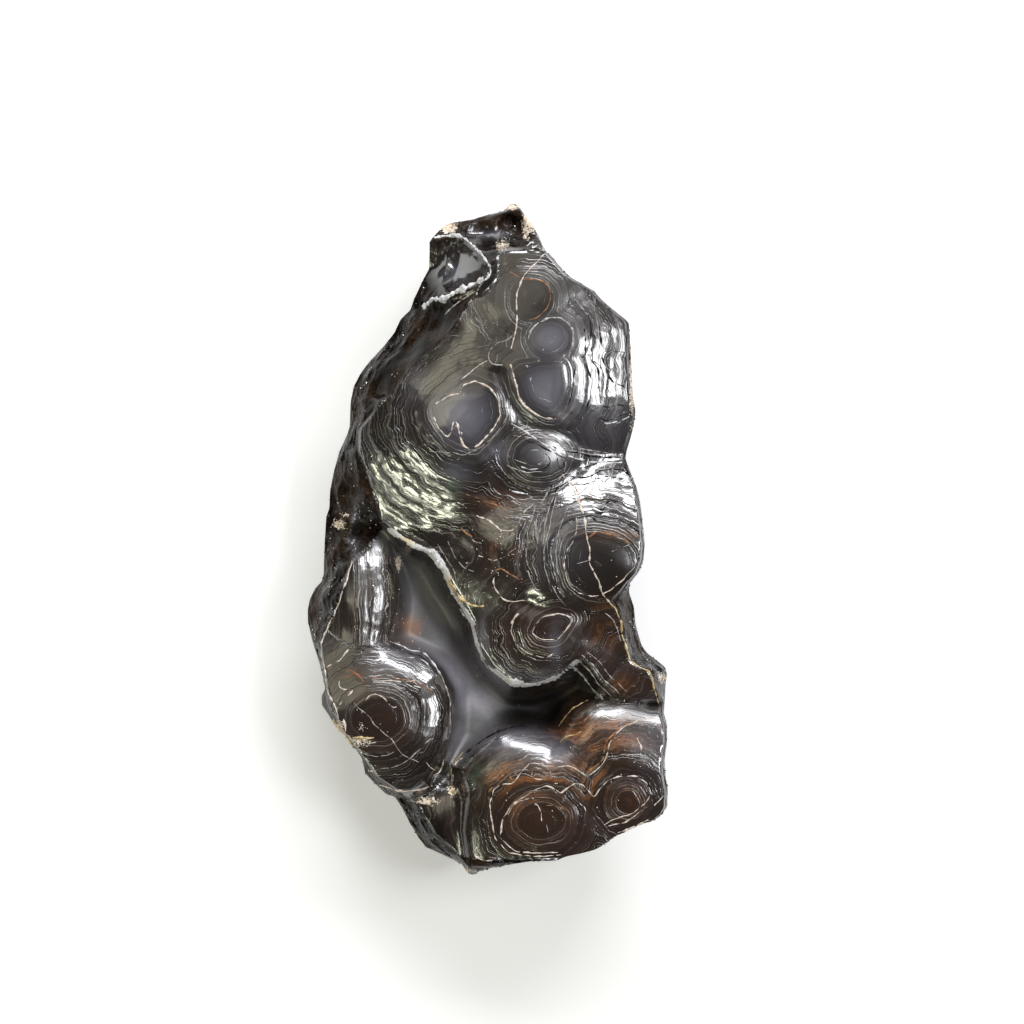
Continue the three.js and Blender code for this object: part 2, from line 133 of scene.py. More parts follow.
def fold(t: Array) -> Array:
    """Triangle wave of period 1 and height +-1, which breaks a surface into flat facets."""
    return 4 * np.abs(t - np.floor(t + 0.5)) - 1


def facets(x: Array, y: Array, size: float) -> Array:
    """Broken, faceted roughness of about +-1."""
    a = fold((0.82 * x + 0.57 * y) / size + 0.13)
    b = fold((-0.46 * x + 0.89 * y) / (size * 0.73) + 0.58)
    c = fold((0.97 * x - 0.26 * y) / (size * 0.51) + 0.31)
    return 0.5 * a + 0.32 * b + 0.22 * c


def waves(x: Array, y: Array) -> Array:
    """Slow swell of the polished face, about +-1."""
    a = 0.5 * np.sin(0.31 * x + 0.17 * y + 1.1)
    b = 0.3 * np.sin(-0.23 * x + 0.41 * y + 2.7)
    return a + b + 0.2 * np.sin(0.62 * x + 0.53 * y + 0.4)


@dataclass(frozen=True)
class Grain:
    """Seeded random roughness in space."""

    seed: int = SEED

    def _lattice(self, i: Array, j: Array, k: Array, salt: int) -> Array:
        """Random value from 0 to 1 at whole-number places."""
        n = i * 73856093 ^ j * 19349663 ^ k * 83492791 ^ (self.seed * 2654435 + salt * 97531)
        n = (n ^ (n >> 13)) * 1274126177 & 0x7FFFFFFF
        n = (n ^ (n >> 16)) * 668265263 & 0x7FFFFFFF
        return (n & 0xFFFFFF) / float(0xFFFFFF)

    def smooth(self, x: Array, y: Array, z: Array, size: float, salt: int = 0) -> Array:
        """Smooth random field.

        Args:
            x: across positions.
            y: positions along the stone.
            z: heights.
            size: spacing of the field's lumps.
            salt: picks another field of the same kind.

        Returns:
            The field at each point, from -1 to 1.
        """
        px, py, pz = x / size, y / size, z / size
        ix, iy, iz = (np.floor(v).astype(np.int64) for v in (px, py, pz))
        fx, fy, fz = px - ix, py - iy, pz - iz
        fx, fy, fz = (f * f * (3 - 2 * f) for f in (fx, fy, fz))
        total = np.zeros(np.broadcast(px, py, pz).shape)
        for a in (0, 1):
            for b in (0, 1):
                for c in (0, 1):
                    weight = (fx if a else 1 - fx) * (fy if b else 1 - fy) * (fz if c else 1 - fz)
                    total = total + weight * self._lattice(ix + a, iy + b, iz + c, salt)
        return 2 * total - 1

    def rough(self, x: Array, y: Array, z: Array, size: float, levels: int = 3, salt: int = 0) -> Array:
        """Sum of finer and finer smooth fields, about +-1."""
        total = np.zeros(np.broadcast(x, y, z).shape)
        share, whole = 1.0, 0.0
        for level in range(levels):
            total = total + share * self.smooth(x, y, z, size / 2**level, salt + 11 * level)
            whole += share
            share *= 0.55
        return total / whole

    def scoops(self, x: Array, y: Array, z: Array, size: float, salt: int = 0) -> Array:
        """Shell-like break: shallow bowls that meet in sharp ridges.

        Args:
            x: across positions.
            y: positions along the stone.
            z: heights.
            size: spacing of the bowls.
            salt: picks another field of the same kind.

        Returns:
            The square of the distance to the nearest bowl's middle, in bowl sizes.
        """
        px, py, pz = x / size, y / size, z / size
        ix, iy, iz = (np.floor(v).astype(np.int64) for v in (px, py, pz))
        best = np.full(np.broadcast(px, py, pz).shape, 9.0)
        for a in (-1, 0, 1):
            for b in (-1, 0, 1):
                for c in (-1, 0, 1):
                    i, j, k = ix + a, iy + b, iz + c
                    ox = i + self._lattice(i, j, k, salt + 1)
                    oy = j + self._lattice(i, j, k, salt + 2)
                    oz = k + self._lattice(i, j, k, salt + 3)
                    best = np.minimum(best, (px - ox) ** 2 + (py - oy) ** 2 + (pz - oz) ** 2)
        return np.minimum(best, 1.0)


@dataclass(frozen=True)
class Lumps:
    """A layer of roughness: its height, the size of its lumps, the field it picks and its finer levels."""

    height: float
    size: float
    salt: int
    levels: int = 1

    def at(self, grain: Grain, x: Array, y: Array, z: Array) -> Array:
        """Height of the lumps."""
        return self.height * grain.rough(x, y, z, self.size, self.levels, self.salt)


@dataclass(frozen=True)
class Scoops:
    """A layer of shell-like breaks: height, size, the field it picks and the depth of its flat middle."""

    height: float
    size: float
    salt: int
    depth: float = 0.3

    def at(self, grain: Grain, x: Array, y: Array, z: Array) -> Array:
        """Height of the scoops."""
        return self.height * (grain.scoops(x, y, z, self.size, self.salt) - self.depth)


@dataclass(frozen=True)
class Ripple:
    """Fine waves that follow the growth rings: height, spacing, how far they drift, and where they start."""

    height: float
    spacing: float
    drift: float
    start: float = 0.0

    def at(self, growth: Array, drift: Array) -> Array:
        """Height of the waves."""
        return self.height * np.sin(2 * np.pi * growth / self.spacing + self.drift * drift + self.start)


@dataclass(frozen=True)
class Profile:
    """A value that changes along the stone, as stops of (y, value) in falling y."""

    stops: tuple[Point, ...]

    def at(self, y: Array | float) -> Array:
        """Value at y."""
        rows = np.array(self.stops[::-1])
        return np.interp(y, rows[:, 0], rows[:, 1])


@dataclass(frozen=True)
class Cap:
    """One rounded dome: middle, crown height and radii of curvature across, along and on the foot side."""

    x: float
    y: float
    height: float
    across: float
    along: float
    foot: float = 0.0

    def at(self, x: Array, y: Array) -> Array:
        """Height of the dome."""
        along = np.where(y < self.y, self.foot or self.along, self.along)
        return self.height - (x - self.x) ** 2 / (2 * self.across) - (y - self.y) ** 2 / (2 * along)


@dataclass(frozen=True)
class Eye:
    """A growth centre: the outline of its first ring. Later rings run outside it."""

    outline: tuple[Point, ...]

    @classmethod
    def oval(cls, x: float, y: float, across: float, along: float) -> "Eye":
        """Eye with an oval first ring."""
        turns = [2 * math.pi * k / 12 for k in range(12)]
        return cls(tuple((x + across * math.cos(t), y + along * math.sin(t)) for t in turns))

    def outward(self, x: Array, y: Array) -> Array:
        """Distance outward from the first ring, negative inside it."""
        return -inside_distance(x, y, rounded(self.outline))


@dataclass(frozen=True)
class Lobe:
    """A mass that stands out of the hollow: caps inside a plan outline, rounded off at its lip."""

    caps: tuple[Cap, ...]
    outline: tuple[Point, ...]
    lip: float
    lip_width: float
    slope: float
    eyes: tuple[Eye, ...]
    blend: float = 1.6
    eye_blend: float = 0.35
    underground: float = -100.0

    def at(self, x: Array, y: Array) -> Array:
        """Height of the lobe, falling away past its outline."""
        z = np.full(x.shape, self.underground)
        for cap in self.caps:
            z = smooth_max(z, cap.at(x, y), self.blend)
        d = inside_distance(x, y, self.outline)
        t = np.clip(1 - d / self.lip_width, 0.0, 1.0)
        rounded = z - self.lip * (1 - np.sqrt(1 - t * t))
        return np.where(d >= 0, rounded, z - self.lip + self.slope * d)

    def growth(self, x: Array, y: Array) -> Array:
        """Distance outward from the nearest growth centre's first ring."""
        g = np.full(x.shape, FAR)
        for eye in self.eyes:
            g = smooth_min(g, eye.outward(x, y), self.eye_blend)
        return g


@dataclass(frozen=True)
class Ridge:
    """A raised line of the face, or a crease where its height is negative."""

    height: float
    width: float
    course: tuple[Point, ...]

    def at(self, x: Array, y: Array) -> Array:
        """Height added by the ridge."""
        return self.height * np.exp(-((course_distance(x, y, self.course) / self.width) ** 2))


@dataclass(frozen=True)
class Spot:
    """A soft oval patch: middle, half sizes and strength. It is a dent, a stain or a crust."""

    x: float
    y: float
    across: float
    along: float
    strength: float

    def at(self, x: Array, y: Array) -> Array:
        """Strength of the patch."""
        far = ((x - self.x) / self.across) ** 2 + ((y - self.y) / self.along) ** 2
        return self.strength * np.exp(-far)


@dataclass(frozen=True)
class Chips:
    """Faceted roughness of a broken flank: height and size of its facets."""

    height: float
    size: float

    def at(self, x: Array, y: Array) -> Array:
        """Height added by the facets."""
        return self.height * facets(x, y, self.size)


@dataclass(frozen=True)
class Facet:
    """A flat break of the back: outward direction and distance from the back's axis."""

    x: float
    y: float
    z: float
    reach: float


def spots_at(spots: Iterable[Spot], x: Array, y: Array) -> Array:
    """Strongest of several patches at each point."""
    total = np.zeros(x.shape)
    for spot in spots:
        total = np.maximum(total, spot.at(x, y))
    return total


# ---------------------------------------------------------------- the stone's own sizes, in millimetres

LEFT_OUTLINE = Profile((
    (67.6, 4.9), (66.2, 3.3), (65.4, 0.2), (64.3, -2.9), (63.8, -5.9), (63.2, -8.3), (61.8, -9.7),
    (59.6, -11.4), (54.4, -11.5), (52.2, -12.7), (48.4, -14.5), (46.2, -15.3), (44.2, -17.3),
    (41.6, -18.5), (39.0, -20.5), (35.8, -23.5), (33.8, -25.1), (30.8, -26.7), (28.0, -27.3),
    (23.0, -27.5), (21.0, -28.1), (17.6, -29.7), (14.0, -30.7), (10.0, -31.5), (6.4, -31.7),
    (4.6, -32.3), (-1.0, -32.7), (-7.0, -32.9), (-8.4, -33.3), (-9.8, -34.6), (-12.0, -35.7),
    (-14.0, -36.1), (-16.4, -36.1), (-20.0, -35.3), (-25.0, -33.7), (-30.0, -32.5), (-31.4, -33.3),
    (-33.4, -33.2), (-35.8, -31.5), (-38.2, -29.9), (-39.4, -28.2), (-41.0, -27.1), (-44.0, -25.1),
    (-47.0, -24.5), (-49.4, -22.4), (-51.4, -20.2), (-51.8, -18.5), (-54.0, -17.1), (-57.2, -15.5),
    (-60.0, -13.9), (-62.2, -12.3), (-62.9, -10.6), (-64.4, -7.3), (-65.6, -5.0), (-67.2, -3.9),
    (-67.6, -3.1),
))
RIGHT_OUTLINE = Profile((
    (67.6, 5.9), (66.6, 6.9), (64.4, 8.3), (62.4, 9.7), (60.0, 10.9), (57.8, 11.3), (57.3, 12.5),
    (55.0, 14.3), (52.6, 16.5), (51.0, 19.1), (49.6, 21.5), (48.2, 22.7), (46.0, 25.1), (44.2, 27.5),
    (43.2, 28.4), (39.0, 28.7), (29.0, 29.1), (25.8, 29.7), (23.6, 29.5), (20.6, 28.8), (18.0, 28.0),
    (16.4, 27.7), (14.6, 28.2), (10.6, 29.9), (7.6, 30.6), (2.0, 31.3), (-1.0, 31.5), (-4.0, 31.3),
    (-6.4, 30.4), (-8.6, 28.7), (-10.4, 28.5), (-13.4, 29.5), (-17.0, 29.9), (-21.0, 31.1),
    (-22.6, 32.1), (-24.6, 34.7), (-25.6, 35.9), (-27.0, 36.3), (-29.0, 36.0), (-34.6, 35.5),
    (-37.0, 36.1), (-40.0, 36.1), (-44.0, 35.6), (-47.0, 35.8), (-50.0, 36.3), (-53.2, 36.2),
    (-54.6, 35.4), (-56.0, 33.7), (-56.5, 31.5), (-58.0, 28.7), (-59.0, 26.4), (-61.6, 22.7),
    (-62.4, 19.7), (-63.0, 16.7), (-63.8, 14.9), (-64.0, 9.7), (-64.8, 5.1), (-65.8, 1.0),
    (-66.6, -1.1), (-67.4, -2.1), (-67.6, -2.5),
))
LEFT_EDGE = Profile((
    (67.6, 5.3), (65.0, 4.6), (62.0, 4.0), (59.0, 3.6), (56.4, 2.3), (54.4, 0.9), (51.2, -0.5),
    (47.0, -3.3), (42.0, -6.3), (38.2, -9.7), (33.8, -14.9), (31.6, -16.5), (29.0, -17.7),
    (28.0, -20.1), (26.0, -21.7), (22.4, -24.9), (17.6, -25.3), (14.0, -23.7), (6.0, -21.3),
    (2.0, -20.5), (-1.5, -23.9), (-4.4, -26.9), (-10.0, -28.7), (-14.6, -30.3), (-20.6, -32.9),
    (-25.0, -32.3), (-29.4, -31.6), (-33.6, -30.4), (-38.0, -28.4), (-44.0, -23.8), (-47.0, -21.8),
    (-50.4, -17.0), (-53.4, -13.2), (-59.0, -10.1), (-62.0, -6.3), (-65.6, -3.0), (-67.6, -3.0),
))
RIGHT_EDGE = Profile((
    (67.6, 60), (-7.9, 60), (-8.0, 28.0), (-12.0, 24.7), (-15.0, 26.3), (-20.0, 27.5), (-24.4, 28.7),
    (-25.8, 32.1), (-29.0, 33.7), (-32.0, 34.6), (-32.1, 60), (-67.6, 60),
))
LEFT_TURN = Profile((
    (67.6, 15), (64, 22), (56, 23), (48, 22), (40, 21), (30, 20), (22, 19), (10, 17), (0, 16),
    (-14, 14), (-30, 15), (-40, 17), (-50, 15), (-60, 13), (-67.6, 12),
))
RIGHT_TURN = Profile((
    (67.6, 15), (60, 23), (56, 28), (50, 30), (20, 30), (0, 31), (-8, 27), (-14, 22), (-22, 18),
    (-28, 18), (-33, 23), (-40, 26), (-50, 25), (-57, 23), (-62, 21), (-67.6, 12),
))
LEFT_ROLL = Profile(((44, 0.0), (30, 1.0), (20, 2.4), (3, 2.4), (-4, 1.4), (-12, 0.0)))
END_CEILING = Profile((
    (67.6, 17), (66.2, 22.5), (63, 28), (59, 32), (57, 36), (50, 44), (-63.0, 44), (-64.4, 30),
    (-66, 23), (-67.6, 14),
))
BASE_LIFT = Profile((
    (67.6, 11), (64, 7), (58, 3), (51, 0), (-50, 0), (-57, 2), (-63, 5), (-67.6, 10),
))

UPPER_EYES = (
    Eye.oval(8.9, 47.8, 4.2, 4.2),
    Eye.oval(12.8, 40.0, 4.6, 4.2),
    Eye((
        (-9.9, 27.0), (-7.7, 28.6), (-4.5, 30.8), (-2.1, 31.6), (0.7, 30.2), (2.3, 27.8), (2.9, 25.0),
        (1.7, 22.4), (-1.7, 18.8), (-3.4, 18.0), (-7.7, 20.3), (-10.4, 24.5),
    )),
    Eye((
        (5.5, 34.0), (5.9, 31.0), (7.3, 27.2), (9.5, 25.8), (11.7, 24.6), (14.1, 24.6), (15.9, 26.2),
        (16.7, 28.8), (16.9, 32.4), (16.3, 35.6), (13.1, 35.6), (8.7, 35.2),
    )),
    Eye.oval(10.6, 16.8, 5.4, 3.6),
    Eye((
        (16.9, 0.4), (16.1, -2.0), (15.7, -4.6), (16.5, -7.2), (18.1, -9.6), (20.7, -11.0), (23.5, -11.0),
        (26.5, -10.0), (28.3, -7.6), (29.3, -5.0), (28.9, -1.6), (26.3, 0.4), (22.7, 1.4), (19.7, 1.4),
    )),
    Eye((
        (9.1, -18.4), (9.9, -16.7), (11.5, -15.1), (14.3, -14.6), (16.4, -15.1), (17.0, -16.2),
        (15.9, -17.8), (14.0, -19.7), (11.5, -19.7), (9.9, -19.2),
    )),
)
LOWER_EYES = (
    Eye.oval(10.9, -56.0, 4.6, 3.4),
    Eye.oval(28.1, -52.0, 2.0, 2.0),
)

UPPER_MASS = Lobe(
    caps=(
        Cap(9, 31, 37.4, 48, 110, 36), Cap(-3.3, 24, 37.2, 46, 110, 52), Cap(9.2, 17.0, 36.4, 18, 18),
        Cap(20.5, -1.5, 37.9, 85, 26, 32), Cap(5, 6, 34.9, 40, 24, 70), Cap(12.4, -17.5, 34.7, 42, 30, 42),
        Cap(25, -20, 33.0, 40, 40),
    ),
    outline=(
        (11.9, 58.4), (4.5, 58.0), (-6, 56), (-34, 40), (-40, 10), (-20.1, 2.8), (-17.3, -0.2),
        (-14.9, -1.8), (-11.3, -2.6), (-8.7, -6.0), (-7.3, -9.0), (-4.7, -13.0), (-2.7, -16.4),
        (-1.7, -21.0), (1.1, -25.4), (5.3, -28.8), (8.7, -28.8), (13.7, -27.4), (18.1, -24.0),
        (19.7, -24.4), (22.3, -28.4), (25.3, -31.2), (30.7, -32.2), (40, -32.4), (40, 52), (20, 60),
    ),
    lip=1.6, lip_width=0.9, slope=2.6, eyes=UPPER_EYES,
)
LEFT_LOBE = Lobe(
    caps=(Cap(-24.5, -12, 28.9, 10, 26, 60),),
    outline=(
        (-20.0, 2.4), (-19.1, -2.0), (-18.7, -5.0), (-17.5, -11.0), (-17.7, -14.0), (-19.3, -20.5),
        (-19.3, -27), (-40, -27), (-42, 4),
    ),
    lip=1.6, lip_width=3.0, slope=1.5, eyes=(Eye.oval(-27.8, -13.0, 1.4, 12.0),),
)
LEFT_DOME = Lobe(
    caps=(Cap(-19.5, -34, 31.0, 72, 32, 46),),
    outline=(
        (-20.4, -19.0), (-16.0, -21.4), (-12.6, -23.2), (-9.3, -26.2), (-7.3, -30.0), (-6.5, -35.0),
        (-6.9, -40.0), (-8.3, -45.0), (-11.0, -49.5), (-15.5, -52.0), (-30, -53), (-44, -40),
        (-44, -8), (-24.5, -8),
    ),
    lip=3.8, lip_width=5.5, slope=2.0,
    eyes=(Eye.oval(-21.6, -35.4, 5.4, 4.4),),
)
LOWER_DOME = Lobe(
    caps=(Cap(9.5, -50, 31.4, 60, 36), Cap(12.0, -57, 30.9, 60, 38)),
    outline=(
        (-4.4, -50), (-6.0, -45.6), (-2.3, -41.4), (1.7, -38.2), (4.7, -37.4), (8.2, -37.6),
        (12.7, -39.0), (16.7, -42.0), (20, -44.4), (30, -52), (34, -70), (-3, -72), (-5, -58),
    ),
    lip=3.2, lip_width=5.0, slope=1.8, eyes=LOWER_EYES,
)
RIGHT_DOME = Lobe(
    caps=(Cap(27.0, -43, 32.8, 56, 36), Cap(28.0, -52, 31.5, 60, 36), Cap(19.5, -39, 31.2, 26, 20)),
    outline=(
        (14.5, -40.5), (16.3, -36.4), (17.1, -34.4), (18.7, -32.8), (22.7, -31.2), (26.7, -31.4),
        (33.7, -33.0), (40, -33), (40, -66), (8, -66), (8, -47),
    ),
    lip=3.0, lip_width=5.0, slope=2.2, eyes=LOWER_EYES,
)
LOWER_LEFT = Lobe(
    caps=(Cap(-5, -56, 25.5, 20, 30),),
    outline=((-5, -48), (-12, -49.5), (-22, -50), (-22, -70), (6, -72), (6, -48)),
    lip=1.5, lip_width=3.0, slope=1.5, eyes=LOWER_EYES,
)
LOBES = (UPPER_MASS, LEFT_LOBE, LEFT_DOME, LOWER_DOME, RIGHT_DOME, LOWER_LEFT)

RIDGES = (
    Ridge(2.2, 1.3, (
        (-10.7, 60.4), (-6, 60.8), (-2.3, 58.4), (0.5, 55.2), (0.2, 52.6), (-2.0, 50.4), (-7, 49),
        (-11.5, 47.4),
    )),
    Ridge(0.9, 1.0, ((-13, 44), (-17.5, 37.5), (-22, 32.5), (-24.8, 27))),
    Ridge(-0.5, 1.6, ((2.9, 32.5), (4.1, 28.4), (8.2, 23.4), (15, 20.6), (21, 18.0), (29, 16.6))),
    Ridge(-0.7, 1.8, ((7.3, -12.6), (12, -13.8), (18.5, -14.4), (25, -12.8))),
    Ridge(-0.4, 1.9, ((17.3, 13.4), (12.5, 8), (8.4, 0), (7.6, -6), (8.6, -11))),
    Ridge(1.0, 2.8, ((-9.5, -24), (-5, -31), (2, -37))),
    Ridge(-0.4, 2.0, ((19, -44), (24, -46.4), (31, -47.5))),
    Ridge(1.0, 0.9, ((-30.6, 13), (-28.4, 4), (-29.6, -5), (-33, -13))),
    Ridge(-1.2, 1.1, ((-26.4, 12), (-25.0, 4), (-27.8, -3.5))),
)
HOLLOWS = (
    Spot(4.6, 63.4, 2.2, 2.2, 4.0), Spot(-6.0, 55.0, 4.6, 4.6, 2.8), Spot(-1.5, 61.6, 3.0, 3.0, 1.0),
    Spot(-10.5, 43.5, 4.5, 4.5, 1.4), Spot(-13, -11, 5.0, 5.0, 1.4), Spot(11.5, -33, 4.5, 4.5, 1.6),
    Spot(-15.5, 37.0, 5.0, 5.0, 1.0), Spot(31.5, -22.5, 2.2, 2.2, 1.2),
)
BACK_FACETS = (
    Facet(0.86, 0.10, -0.50, 28.5), Facet(-0.80, 0.16, -0.58, 27.0), Facet(0.62, -0.16, -0.77, 27.0),
    Facet(-0.60, -0.20, -0.77, 29.5), Facet(0.40, 0.42, -0.82, 36.5), Facet(-0.44, 0.36, -0.82, 34.0),
    Facet(0.97, -0.24, -0.02, 38.5), Facet(-0.95, -0.28, -0.10, 38.0), Facet(-0.97, 0.22, -0.12, 33.5),
    Facet(0.40, -0.46, -0.79, 44.0), Facet(-0.42, -0.44, -0.79, 43.0), Facet(0.94, 0.30, -0.16, 36.0),
)

# Where the face is stained, crusted, flecked, silky, golden, glassy or dull, and where painted sheen on the
# hollow floor and on hazy patches, and painted greenish reflections, are laid into the colour.
BROWN = (
    Spot(2.2, 6.4, 8, 5.5, 0.6), Spot(23.5, -20, 5, 7, 1.0), Spot(29.7, -28, 4.5, 4, 1.0),
    Spot(3.7, -46.5, 4, 4.5, 0.9), Spot(10.7, -44.5, 7, 4, 0.9), Spot(19, -38.5, 5, 5, 0.9),
    Spot(28.7, -41, 6, 7, 0.8), Spot(-24, -29.5, 7, 4, 0.6), Spot(28.5, -51, 6, 5, 0.6),
    Spot(12, -55, 16, 9, 0.9), Spot(10, -18, 12, 8, 0.6), Spot(2, -6, 9, 8, 0.35),
    Spot(23.5, 0.6, 6, 1.6, 0.7), Spot(-21, -37, 9, 9, 0.6), Spot(-24, -17, 6, 5, 0.4),
)
AMBER = (
    Spot(3.0, -46.6, 3.4, 3.0, 0.75), Spot(12.0, -46.2, 8, 2.0, 1.3), Spot(19.0, -38.6, 4.2, 4.6, 1.25),
    Spot(3.6, 7.6, 4.0, 1.4, 0.35), Spot(24.5, 0.9, 4.5, 0.7, 0.5), Spot(23.0, -17.0, 2.5, 4, 0.35),
    Spot(27.5, -29.5, 2.6, 2.0, 0.45), Spot(-15.0, -17.3, 1.5, 1.7, 1.0), Spot(3.0, -2.0, 3.5, 1.5, 0.3),
    Spot(-26.5, -26.6, 3.2, 1.4, 0.35), Spot(28.4, -51.6, 2.4, 2.4, 0.45), Spot(26.5, -38.5, 6, 3.0, 0.95),
    Spot(8.0, -52, 4, 4, 0.3), Spot(20.5, -47, 3, 4, 0.75),
)
CRUST = (
    Spot(5.0, 66.9, 1.7, 0.8, 1.0), Spot(8.4, 63.6, 1.3, 2.8, 1.0), Spot(-7.6, 62.6, 1.9, 1.6, 1.0),
    Spot(-29.6, 3.0, 1.6, 1.2, 0.9), Spot(-28.2, 5.0, 1.2, 0.6, 0.7), Spot(-29.3, -37.6, 1.5, 2.2, 0.72),
    Spot(-25.0, -40.2, 2.6, 1.2, 0.72), Spot(-12.2, -52.2, 3.2, 1.2, 0.78), Spot(-6.8, -50.2, 1.2, 1.2, 0.9),
    Spot(3.0, 58.6, 2.0, 1.8, 0.6), Spot(-17.6, -4.6, 0.9, 2.2, 0.7), Spot(22.6, -31.0, 1.2, 0.5, 0.8),
    Spot(28.8, 32.0, 0.5, 11.0, 0.7), Spot(35.2, -27.6, 1.4, 1.4, 0.6), Spot(-25.0, -37.0, 1.0, 1.6, 0.5),
    Spot(-3.6, -66.4, 1.3, 1.2, 0.5), Spot(7.9, 62.0, 0.9, 2.4, 0.9),
)
FLECKED = (
    Spot(20, -6, 10, 10, 0.4), Spot(-20, -20, 8, 14, 0.7), Spot(3, -2, 9, 9, 0.8), Spot(-22, -36, 8, 10, 0.5),
    Spot(12, -50, 16, 12, 0.45), Spot(-13, -14, 3, 8, 0.7), Spot(14, 36, 6, 6, 0.7), Spot(28, -42, 8, 9, 0.8),
)
SILKY = (
    Spot(11.4, 17.0, 4.5, 3.6, 1.3), Spot(7.0, -41.0, 8.0, 3.0, 1.2), Spot(29.0, -34.4, 6.0, 2.0, 1.8),
    Spot(-23, -9, 5, 14, 0.8), Spot(26, -35, 12, 5, 0.9), Spot(8, -41, 12, 5, 0.9), Spot(-16, -26, 8, 4, 0.5),
)
# Painted sheen on the hollow floor: pale lavender-grey laid into its colour to stand for the light it
# catches.
PAINTED_SATIN_SHEEN_SPOTS = (
    Spot(-14.8, -12, 1.6, 6, 0.40), Spot(-7.5, -28.5, 5.5, 5.5, 1.0), Spot(-1.5, -32.5, 5, 3.5, 1.0),
    Spot(-10.5, -21, 4, 5, 0.35), Spot(-8.0, -38, 3.0, 6, 0.6), Spot(-6.0, -46, 2.0, 5, 0.35),
    Spot(6, -33, 9, 4, 0.10), Spot(-9, -9, 6, 10, 0.05),
)
# Painted sheen: patches where a pale bluish grey is laid into the colour to stand for soft reflections and
# highlight glow on the polish.
PAINTED_SHEEN_SPOTS = (
    Spot(12.0, 30.4, 4.6, 4.6, 1.1), Spot(13.1, 40.0, 4.0, 3.6, 1.1), Spot(-4.3, 24.6, 5.0, 5, 1.25),
    Spot(5.7, -40, 8, 3, 0.6), Spot(13.4, -42, 4.4, 2.6, 1.0), Spot(5.0, -39.4, 4.0, 1.6, 0.6),
    Spot(32.7, -39, 3.5, 6, 0.45), Spot(-17, -24, 6, 3, 0.5), Spot(13.6, -20.5, 1.3, 4, 0.5),
    Spot(14, 2, 6, 9, 0.35), Spot(22, 24, 8, 12, 0.35),
    Spot(2.5, -26.5, 4, 2, 0.5), Spot(-0.8, -21, 1.0, 5, 0.6), Spot(12, -27, 5, 1.2, 0.5),
    Spot(11.0, 17.2, 4.2, 3.2, 0.6), Spot(-6.3, 13.6, 3.4, 2.6, 0.5), Spot(2.7, 17.6, 3.0, 2.4, 0.5),
    Spot(-14.0, 31.0, 3.0, 5.0, 0.3), Spot(1.0, 61.2, 4.6, 1.5, 0.45), Spot(-5.6, 53.8, 3.0, 2.6, 0.5),
    Spot(-26.2, 4.5, 1.1, 3.4, 0.7), Spot(-26.6, -1.0, 1.2, 3.0, 0.7),
)
# Painted reflection: greenish patches where the light of the greenish window is laid into the colour.
PAINTED_GREEN_REFLECTION_SPOTS = (Spot(-1.9, -47.6, 1.2, 2.8, 0.9), Spot(-7.0, 10.7, 1.7, 2.6, 0.7), Spot(33.7, -26.4, 1.0, 1.2, 0.8))
GILT = (Spot(-15.8, 0.0, 1.5, 1.2, 1.0), Spot(-7.0, -8.6, 1.3, 1.6, 1.0), Spot(-17.6, -4.6, 1.5, 2.6, 0.8))
TIP_FACE = (
    Spot(1.0, 61.2, 4.4, 1.4, 1.0), Spot(-2.4, 62.0, 1.6, 1.2, 0.8), Spot(-26.2, 4.5, 1.1, 3.2, 0.8),
    Spot(-26.6, -1.0, 1.2, 3.0, 0.8),
)
DULL = (
    Spot(-9.5, -61.0, 3.0, 8.0, 0.85), Spot(30.5, -34.6, 4.0, 1.8, 0.5), Spot(-3.0, -58.0, 2.6, 9.0, 0.85),
    Spot(-13.0, -35.0, 2.4, 5.0, 0.5), Spot(-28.5, -26.0, 4.0, 5.0, 0.5),
)
SPECKLED = (
    Spot(-24.5, 36, 3, 9, 0.9), Spot(-17.5, 47, 4, 6, 0.8), Spot(-31, 2, 2.5, 9, 0.7),
    Spot(-29.5, -39, 3, 7, 0.9), Spot(-21, -50.5, 7, 4, 0.9), Spot(-9, 60.5, 4, 4, 0.7),
    Spot(-35, -14, 2, 8, 0.5),
)
# Where the growth rings stand out.
RIPPLED = (
    Spot(-18, 16, 9, 11, 1.0), Spot(-14, 7, 8, 6, 1.0), Spot(12, 2, 7, 14, 0.9), Spot(22, 31, 8, 12, 0.5),
    Spot(24, 8, 9, 7, 1.3), Spot(8, -20, 12, 9, 0.6), Spot(-12, -33, 7, 12, 0.6), Spot(18, -46, 16, 9, 0.5),
    Spot(20, -27, 5, 5, 0.8), Spot(-23, -8, 5, 12, 1.3), Spot(4, 20, 9, 5, 0.6),
)
# Pale parts of the broken lip: half width and course.
PALE_LIPS = (
    (0.45, ((-19.5, 2.0), (-17.0, 0.6), (-14.8, -0.9), (-13.4, -1.6))),
    (0.35, ((-13.4, -1.6), (-10.9, -2.4))),
    (0.85, ((-10.9, -2.4), (-9.4, -4.2), (-8.4, -5.9), (-7.7, -7.4))),
    (0.55, ((-7.7, -7.4), (-6.9, -10.4), (-5.4, -12.4))),
    (0.80, ((-5.4, -12.4), (-4.2, -14.2), (-3.0, -16.6))),
    (0.45, ((-3.0, -16.6), (-1.9, -20.8), (-0.4, -24.6), (1.2, -26.2))),
    (0.75, ((1.2, -26.2), (3.4, -27.7), (5.9, -28.9), (8.6, -28.9), (11.0, -28.5))),
    (0.45, ((11.0, -28.5), (13.6, -27.5), (16.5, -25.4), (18.1, -24.2))),
    (0.30, ((18.6, -24.9), (20.6, -27.0), (22.2, -29.6), (23.6, -31.2))),
)


@dataclass(frozen=True)
class Survey:
    """What the stone is like at points of its upper side, each an array."""

    height: Array
    growth: Array
    polish: Array
    gloss: Array
    floor: Array
    painted_satin_sheen: Array
    grit: Array


